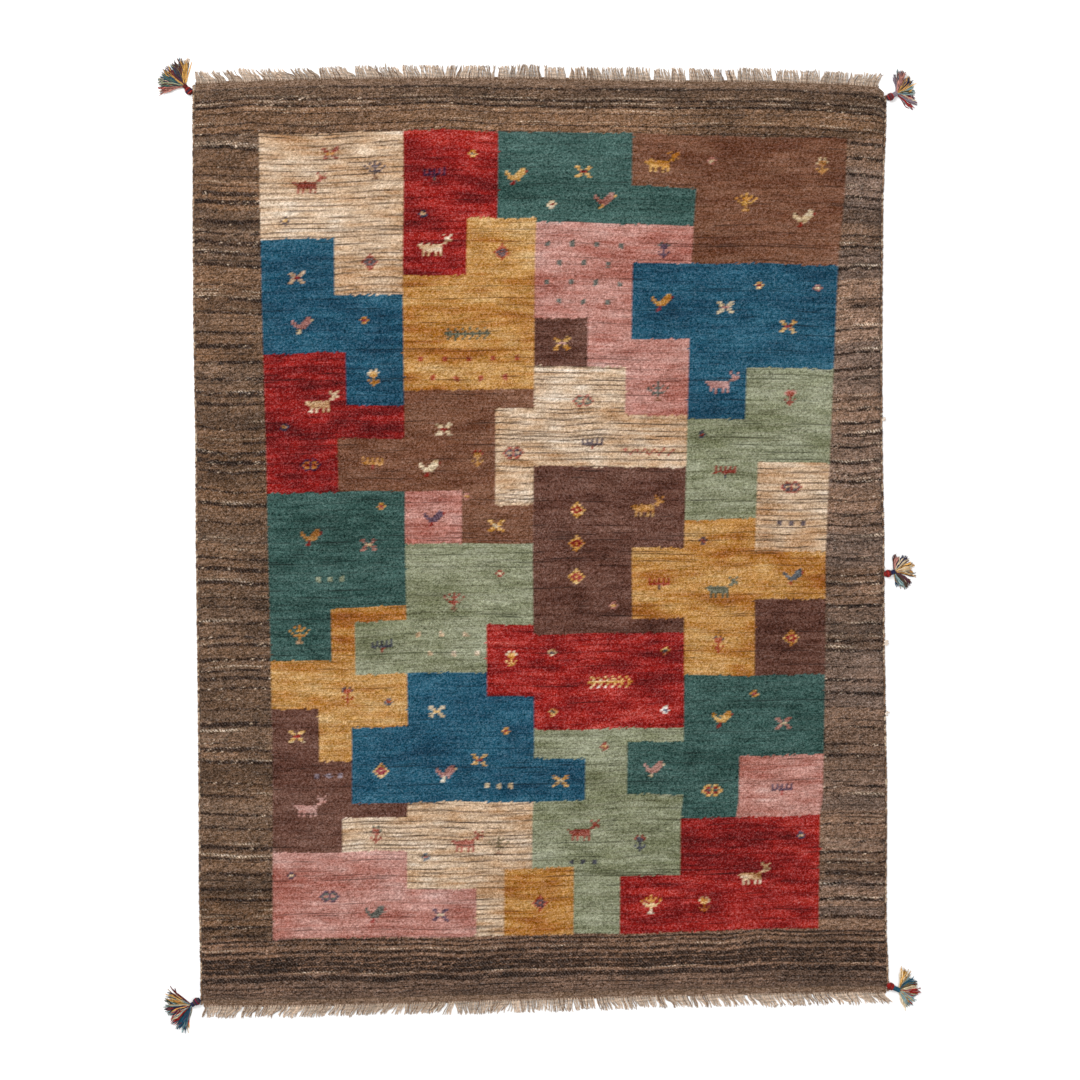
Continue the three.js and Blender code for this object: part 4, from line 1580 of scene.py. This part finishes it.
# %% The table of tassels
TASSELS = [
    # name, knot, fan start, middle, half spread, reach, looseness,
    # wools of the knot, of the neck, of the locks
    (
        "tassel_top_left", (-766, 980), (-775, 991), 140, 54, 60, 0.25,
        ("maroon", "crimson", "indigo"), "maroon",
        ["gold", "gold", "gold", "olive", "aubergine", "aubergine", "lilac", "plum", "indigo", "indigo",
         "plum", "maroon", "maroon", "gold", "olive", "dark_brown", "blue", "teal", "teal", "sage",
         "teal", "cream", "maroon", "crimson", "cream", "rose"],
    ),
    (
        "tassel_top_right", (760, 967), (774, 975), 22, 74, 50, 0.8,
        ("plum", "crimson", "maroon"), "lilac",
        ["crimson", "lilac", "cream", "crimson", "olive", "mist", "mist", "indigo", "gold", "gold",
         "rose", "indigo", "lilac"],
    ),
    (
        "tassel_right", (755, -70), (769, -66), 8, 88, 45, 0.9,
        ("crimson", "maroon", "red"), "indigo",
        ["blue", "mist", "dark_brown", "maroon", "plum", "dark_brown", "gold", "cream", "gold", "brown",
         "cream", "indigo", "indigo", "rose"],
    ),
    (
        "tassel_bottom_left", (-749, -1001), (-760, -1009), 206, 53, 60, 0.4,
        ("indigo", "dark_brown", "red"), "indigo",
        ["maroon", "gold", "olive", "teal", "indigo", "crimson", "mist", "cream", "red", "cream",
         "blue", "blue", "mist"],
    ),
    (
        "tassel_bottom_right", (761, -968), (778, -976), 2, 73, 48, 0.7,
        ("crimson", "red", "maroon"), "blue",
        ["cream", "mist", "mist", "red", "crimson", "cream", "gold", "olive", "blue", "mist", "gold"],
    ),
]
print("tassels:", len(TASSELS))

# %% [markdown]
# The knot is built of wound rings round a core, and the neck of binding turns that step down to the fan.

# %% Knots and necks
KNOT_RADIUS = 8.6 * MM
KNOT_LIFT = 0.2 * MM
KNOT_TURNS = 6
OUTER_TURN = 0.76
KNOT_TILT = 0.14
NECK_RADIUS = 5.4 * MM
NECK_LIFT = 0.3 * MM
NECK_TILT = 0.06
NECK_START = 0.75 * KNOT_RADIUS
NECK_PAST = 2 * MM
WINDING = 1.3 * MM
WINDING_STEP = 1.8 * WINDING
WINDING_TURNS, WINDING_SIDES = 18, 6
CORE_TURNS, CORE_RINGS = 14, 8
CORE_INSET = 0.9 * WINDING
WINDING_TONES = (0.8, 1.15)
CORE_SHADE_TONE = 0.7


def dress_wound(wool, bright):
    """Gives the winding or core just made its wool, and a plain map for the wool's tone."""
    made = bpy.context.object
    bpy.ops.object.transform_apply(location=True, rotation=True, scale=True)
    mesh = made.data
    corners = corner_points(mesh)
    set_dye(mesh, np.tile(wool_colour(wool) * bright, (len(mesh.vertices), 1)))
    set_map(mesh, "knots", corners / 6.0, corners / 40.0)
    mesh.materials.append(yarn_wool)
    bpy.ops.object.shade_smooth()
    return made


def winding(middle, turn, radius, wool, tilt):
    """One turn of yarn wound round a knot or neck: a torus whose axis lies along the neck."""
    bpy.ops.mesh.primitive_torus_add(
        location=middle, rotation=(math.pi / 2 + tilt, 0, turn + math.pi / 2),
        major_segments=WINDING_TURNS, minor_segments=WINDING_SIDES,
        major_radius=radius, minor_radius=WINDING,
    )
    return dress_wound(wool, rng.uniform(*WINDING_TONES))


def core(middle, radius, wool):
    """The filling of a knot, mostly hidden by its windings, painted darker as shade between them."""
    bpy.ops.mesh.primitive_uv_sphere_add(
        segments=CORE_TURNS, ring_count=CORE_RINGS, radius=radius, location=middle, calc_uvs=False
    )
    # painted shade: the core's wool is darkened where it shows between the windings
    return dress_wound(wool, CORE_SHADE_TONE)


def wound_knot(knot, run, knot_wools, neck_wool):
    """The knot of a tassel with its core, and the binding of its neck, as a list of pieces."""
    neck_turn = math.atan2(run[1], run[0])
    way = np.array([*(run / np.linalg.norm(run)), 0])
    height = KNOT_RADIUS + KNOT_LIFT
    centre = np.array([knot[0] * MM, knot[1] * MM, height])
    parts = [core(centre, KNOT_RADIUS - CORE_INSET, knot_wools[0])]
    for k, offset in enumerate(np.linspace(-OUTER_TURN, OUTER_TURN, KNOT_TURNS)):
        radius = KNOT_RADIUS * math.sqrt(1 - offset * offset) - WINDING
        place = centre + way * offset * KNOT_RADIUS
        parts.append(winding(place, neck_turn, radius, knot_wools[k % 3], KNOT_TILT * (-1) ** k))
    last = np.linalg.norm(run) * MM + NECK_PAST
    drop = np.array([0, 0, NECK_RADIUS + NECK_LIFT - height])
    for k, away in enumerate(np.arange(NECK_START, last, WINDING_STEP)):
        place = centre + way * away + drop * (away - NECK_START) / max(last - NECK_START, MM)
        parts.append(winding(place, neck_turn, NECK_RADIUS - WINDING, neck_wool, NECK_TILT * (-1) ** k))
    return parts


# %% [markdown]
# The yarns of a fan lie in locks, one for each wool in the table. In a loose tassel the locks part and
# cross, and some yarns stray from their lock.

# %% Aims and colours of the yarns
TASSEL_YARNS = 180
AIM_SCATTER = 4
LOCK_DRIFT = 0.6
LOCK_WIDTHS = (0.8, 1.2)
LOCK_OVERLAP = 1.4
LOOSE_NARROWS = 0.35
LOCK_BEND = 9
YARN_BEND = 5
LEAST_BEND = 0.2
OWN_WOOL = 0.62
NEXT_WOOL = 0.16
YARN_TONES = (0.4, 1.2)


def for_each_yarn(low, high):
    """One random value for every yarn of a tassel."""
    return rng.uniform(low, high, TASSEL_YARNS)[:, None]


def fan_turns(lock, across, middle, spread, loose, count):
    """The aim of every yarn of a fan and its bend, both in radians."""
    width = 2 * spread / count
    drift = loose * width * rng.uniform(-LOCK_DRIFT, LOCK_DRIFT, count)
    lock_aim = (np.arange(count) + 0.5) * width - spread + drift
    tight = (1 - LOOSE_NARROWS * loose) * rng.uniform(*LOCK_WIDTHS, count)
    order = lock_aim[lock] + width * across * tight[lock] * LOCK_OVERLAP
    aim = middle + order + rng.normal(0, AIM_SCATTER, TASSEL_YARNS)
    lock_bend = rng.uniform(-LOCK_BEND, LOCK_BEND, count) * (LEAST_BEND + loose)
    bend = lock_bend[lock][:, None] + for_each_yarn(-YARN_BEND, YARN_BEND)
    return np.radians(aim)[:, None], np.radians(bend)


def fan_colours(lock, wools):
    """The colour of every yarn: mostly its lock's wool, now and then the next lock's or another one."""
    chance = rng.random(TASSEL_YARNS)
    picked = np.where(chance < OWN_WOOL, lock, rng.integers(0, len(wools), TASSEL_YARNS))
    picked = np.where(chance > 1 - NEXT_WOOL, (lock + 1) % len(wools), picked)
    colours = np.array([wool_colour(wools[k]) for k in picked])
    return colours * for_each_yarn(*YARN_TONES)


# %% [markdown]
# The fan is made of rods in three layers that open from the neck and drop to the floor.

# %% Fans of yarn
TASSEL_RINGS = 8
TASSEL_SIDES = 5
YARN_RADII = (0.95, 1.35)
YARN_REACHES = (0.78, 1.06)
CRIMPS = (0.02, 0.09)
CRIMP_WAVES = 8
CRIMP_STEP = 2.4
LOOSE_SHORTENS = 0.3
LONGEST_LOCK = 1.03
OPENING = 2.2
NECK_SHARE = 0.2
YARN_TIP_RADIUS = 0.6
YARN_FLATNESS = 0.85
YARN_TWIST_DEPTH = 0.15
YARN_TWIST_WAVES = 12
YARN_TWIST = 9
YARN_TWIST_STEP = 0.63
BUNDLE_RADIUS = 3.0 * MM
BUNDLE_HEIGHT = 4.6 * MM
LAYER_HEIGHT = 1.7 * MM
LAYER_SCATTER = 0.9
INSIDE_NECK = -3.5 * MM


def fan(name, start, neck_turn, middle, spread, reach, loose, wools):
    """The yarns of a tassel, from its neck outwards, in one lock for each wool."""
    rods, share, turn = add_rods(name, TASSEL_YARNS, TASSEL_SIDES, TASSEL_RINGS)
    yarn = np.arange(TASSEL_YARNS)
    lock = yarn * len(wools) // TASSEL_YARNS
    across = (yarn + 0.5) * len(wools) / TASSEL_YARNS - lock - 0.5
    aim, bend = fan_turns(lock, across, middle, spread, loose, len(wools))
    lock_reach = rng.uniform(1 - LOOSE_SHORTENS * loose, LONGEST_LOCK, len(wools))
    far_most = reach * MM * lock_reach[lock][:, None] * for_each_yarn(*YARN_REACHES)
    layer = (lock * 2 % 3)[:, None] + for_each_yarn(0, LAYER_SCATTER)
    thick = for_each_yarn(*YARN_RADII) * MM
    spot = BUNDLE_RADIUS * np.sqrt(for_each_yarn(0, 1))
    round_neck = 2 * np.pi * for_each_yarn(0, 1)
    offset = spot * np.cos(round_neck)
    rest = thick + layer * LAYER_HEIGHT
    high = BUNDLE_HEIGHT + spot * np.sin(round_neck)
    crimp = for_each_yarn(*CRIMPS)
    phase = CRIMP_STEP * yarn[:, None]

    def path(s):
        opened = 1 - (1 - s) ** OPENING
        angle = aim + bend * s * s + crimp * s * np.sin(CRIMP_WAVES * s + phase)
        ahead = INSIDE_NECK + (far_most - INSIDE_NECK) * s
        narrow = np.clip(1 - s / NECK_SHARE, 0, 1)
        x = start[0] * MM + ahead * (np.cos(angle) * (1 - narrow) + np.cos(neck_turn) * narrow)
        y = start[1] * MM + ahead * (np.sin(angle) * (1 - narrow) + np.sin(neck_turn) * narrow)
        x = x - offset * np.sin(neck_turn) * (1 - opened)
        y = y + offset * np.cos(neck_turn) * (1 - opened)
        return x, y, high + (rest - high) * opened

    waves = yarn[:, None] * YARN_TWIST_STEP
    tapered = np.where(share > TIP_SHARE, YARN_TIP_RADIUS, 1.0)
    half = thick * tapered * (1 + YARN_TWIST_DEPTH * np.sin(YARN_TWIST_WAVES * share + waves))
    x, y, z = tube_places(path, share, turn, half, YARN_FLATNESS * half, YARN_TWIST * share + waves)
    set_points(rods.data, x, y, np.maximum(z, FLOOR_GAP))
    dress_rods(rods, share, turn, fan_colours(lock, wools), reach * MM)
    return rods


# %% [markdown]
# Knot, neck and fan are joined into one piece for each tassel.

# %% The five tassels


def tassel(name, knot, start, middle, spread, reach, loose, knot_wools, neck_wool, wools):
    """A whole tassel as one piece."""
    run = np.array([start[0] - knot[0], start[1] - knot[1]], float)
    parts = wound_knot(knot, run, knot_wools, neck_wool)
    neck_turn = math.atan2(run[1], run[0])
    return join(fan(name, start, neck_turn, middle, spread, reach, loose, wools), parts)


tassels = []
for row in TASSELS:
    made = tassel("yarn_" + row[0], *row[1:])
    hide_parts(row[0])
    tassels.append(made)
    print(made.name, "faces:", len(made.data.polygons))

# %% [markdown]
# ## Loose ends
# Here and there along the right side a white yarn end sticks out of the overcasting. They are only a few
# millimetres long, but they are there in the photo, and they tell of hand work.

# %% Loose ends on the right side
LOOSE_ENDS = [-218, -224, -375, 264]
STRANDS = 3
STRAND_SIDES = 5
STRAND_RINGS = 5
STRAND_LENGTHS = (7, 12)
STRAND_TURN = 0.9
STRAND_ROOT = 2 * MM
STRAND_HEIGHT = 5.6 * MM
STRAND_ARCH = 1.2 * MM
STRAND_DROP = 2.4 * MM
STRAND_RADII = (1.2 * MM, 1.1 * MM)
STRAND_COUNT_LENGTH = 8 * MM
loose, share, turn = add_rods("loose_ends", STRANDS * len(LOOSE_ENDS), STRAND_SIDES, STRAND_RINGS)
spots = np.repeat(np.array(LOOSE_ENDS) * MM, STRANDS)[:, None]
heading = rng.uniform(-STRAND_TURN, STRAND_TURN, (len(spots), 1))
long = rng.uniform(*STRAND_LENGTHS, (len(spots), 1)) * MM


def loose_path(s):
    """A short end that leaves the cord's top and drops beside it."""
    x = along(RIGHT_EDGE, spots) - STRAND_ROOT + long * s * np.cos(heading)
    y = spots + long * s * np.sin(heading)
    return x, y, STRAND_HEIGHT + STRAND_ARCH * np.sin(2.5 * s) - STRAND_DROP * s * s + 0 * x


x, y, z = tube_places(loose_path, share, turn, *STRAND_RADII)
set_points(loose.data, x, y, z)
strand_colours = np.tile(wool_colour("undyed") * 1.2, (len(spots), 1))
dress_rods(loose, share, turn, strand_colours, STRAND_COUNT_LENGTH)
print("loose ends:", len(spots))

# %% [markdown]
# ## What rides on what
# The rug has no moving parts, so every piece, the web among them, rides on the one body.

# %% Riding on one body
BODY = "root"
for piece in pile_pieces:
    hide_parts("knotted_sheet")
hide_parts("knotted_sheet")
on_the_web = pile_pieces + cords + fringes + tassels + [loose]
for piece in [web] + on_the_web:
    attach(piece, BODY)
print("pieces:", 1 + len(on_the_web))

# %% [markdown]
# ## Floor
# A plain, nearly white floor, as in a studio that photographs rugs from above. It only stands under the
# rug and is no part of it.

# %% Floor
FLOOR_SIZE = 14
FLOOR_FINISH = {"Base Color": (0.9, 0.9, 0.9, 1), "Roughness": 0.8, "Specular IOR Level": 0.1}
bpy.ops.mesh.primitive_plane_add(size=FLOOR_SIZE, location=(0, 0, 0))
floor = bpy.context.object
floor.name = "floor"
floor_paint = bpy.data.materials.new("floor_paint")
floor_paint.use_nodes = True
floor_shader = floor_paint.node_tree.nodes["Principled BSDF"]
for socket, value in FLOOR_FINISH.items():
    floor_shader.inputs[socket].default_value = value
floor.data.materials.append(floor_paint)
print("floor:", FLOOR_SIZE, "m")

# %% [markdown]
# ## Light
# Three large soft lamps, the strongest from the upper left, and a faint white world round them. The plain
# Standard view shows the lit floor as white.

# %% Lamps and world
WORLD_STRENGTH = 0.3
LAMPS = [
    # name, place, size, watts
    ("key_lamp", (-2.6, 2.6, 5.2), 3.0, 300),
    ("fill_lamp", (3.2, -1.2, 5.6), 4.0, 130),
    ("top_lamp", (0.0, 0.0, 7.0), 5.0, 170),
]
for name, place, size, watts in LAMPS:
    bpy.ops.object.light_add(type="AREA", location=place)
    lamp = bpy.context.object
    lamp.name = name
    lamp.data.size = size
    lamp.data.energy = watts
    tilt = math.atan2(math.hypot(place[0], place[1]), place[2])
    bearing = math.atan2(place[1], place[0])
    lamp.rotation_euler = (tilt, 0, bearing + math.pi / 2)
world = bpy.data.worlds.new("studio")
world.use_nodes = True
background = world.node_tree.nodes["Background"]
background.inputs["Color"].default_value = (1, 1, 1, 1)
background.inputs["Strength"].default_value = WORLD_STRENGTH
bpy.context.scene.world = world
bpy.context.scene.view_settings.view_transform = "Standard"
print("lamps:", len(LAMPS))
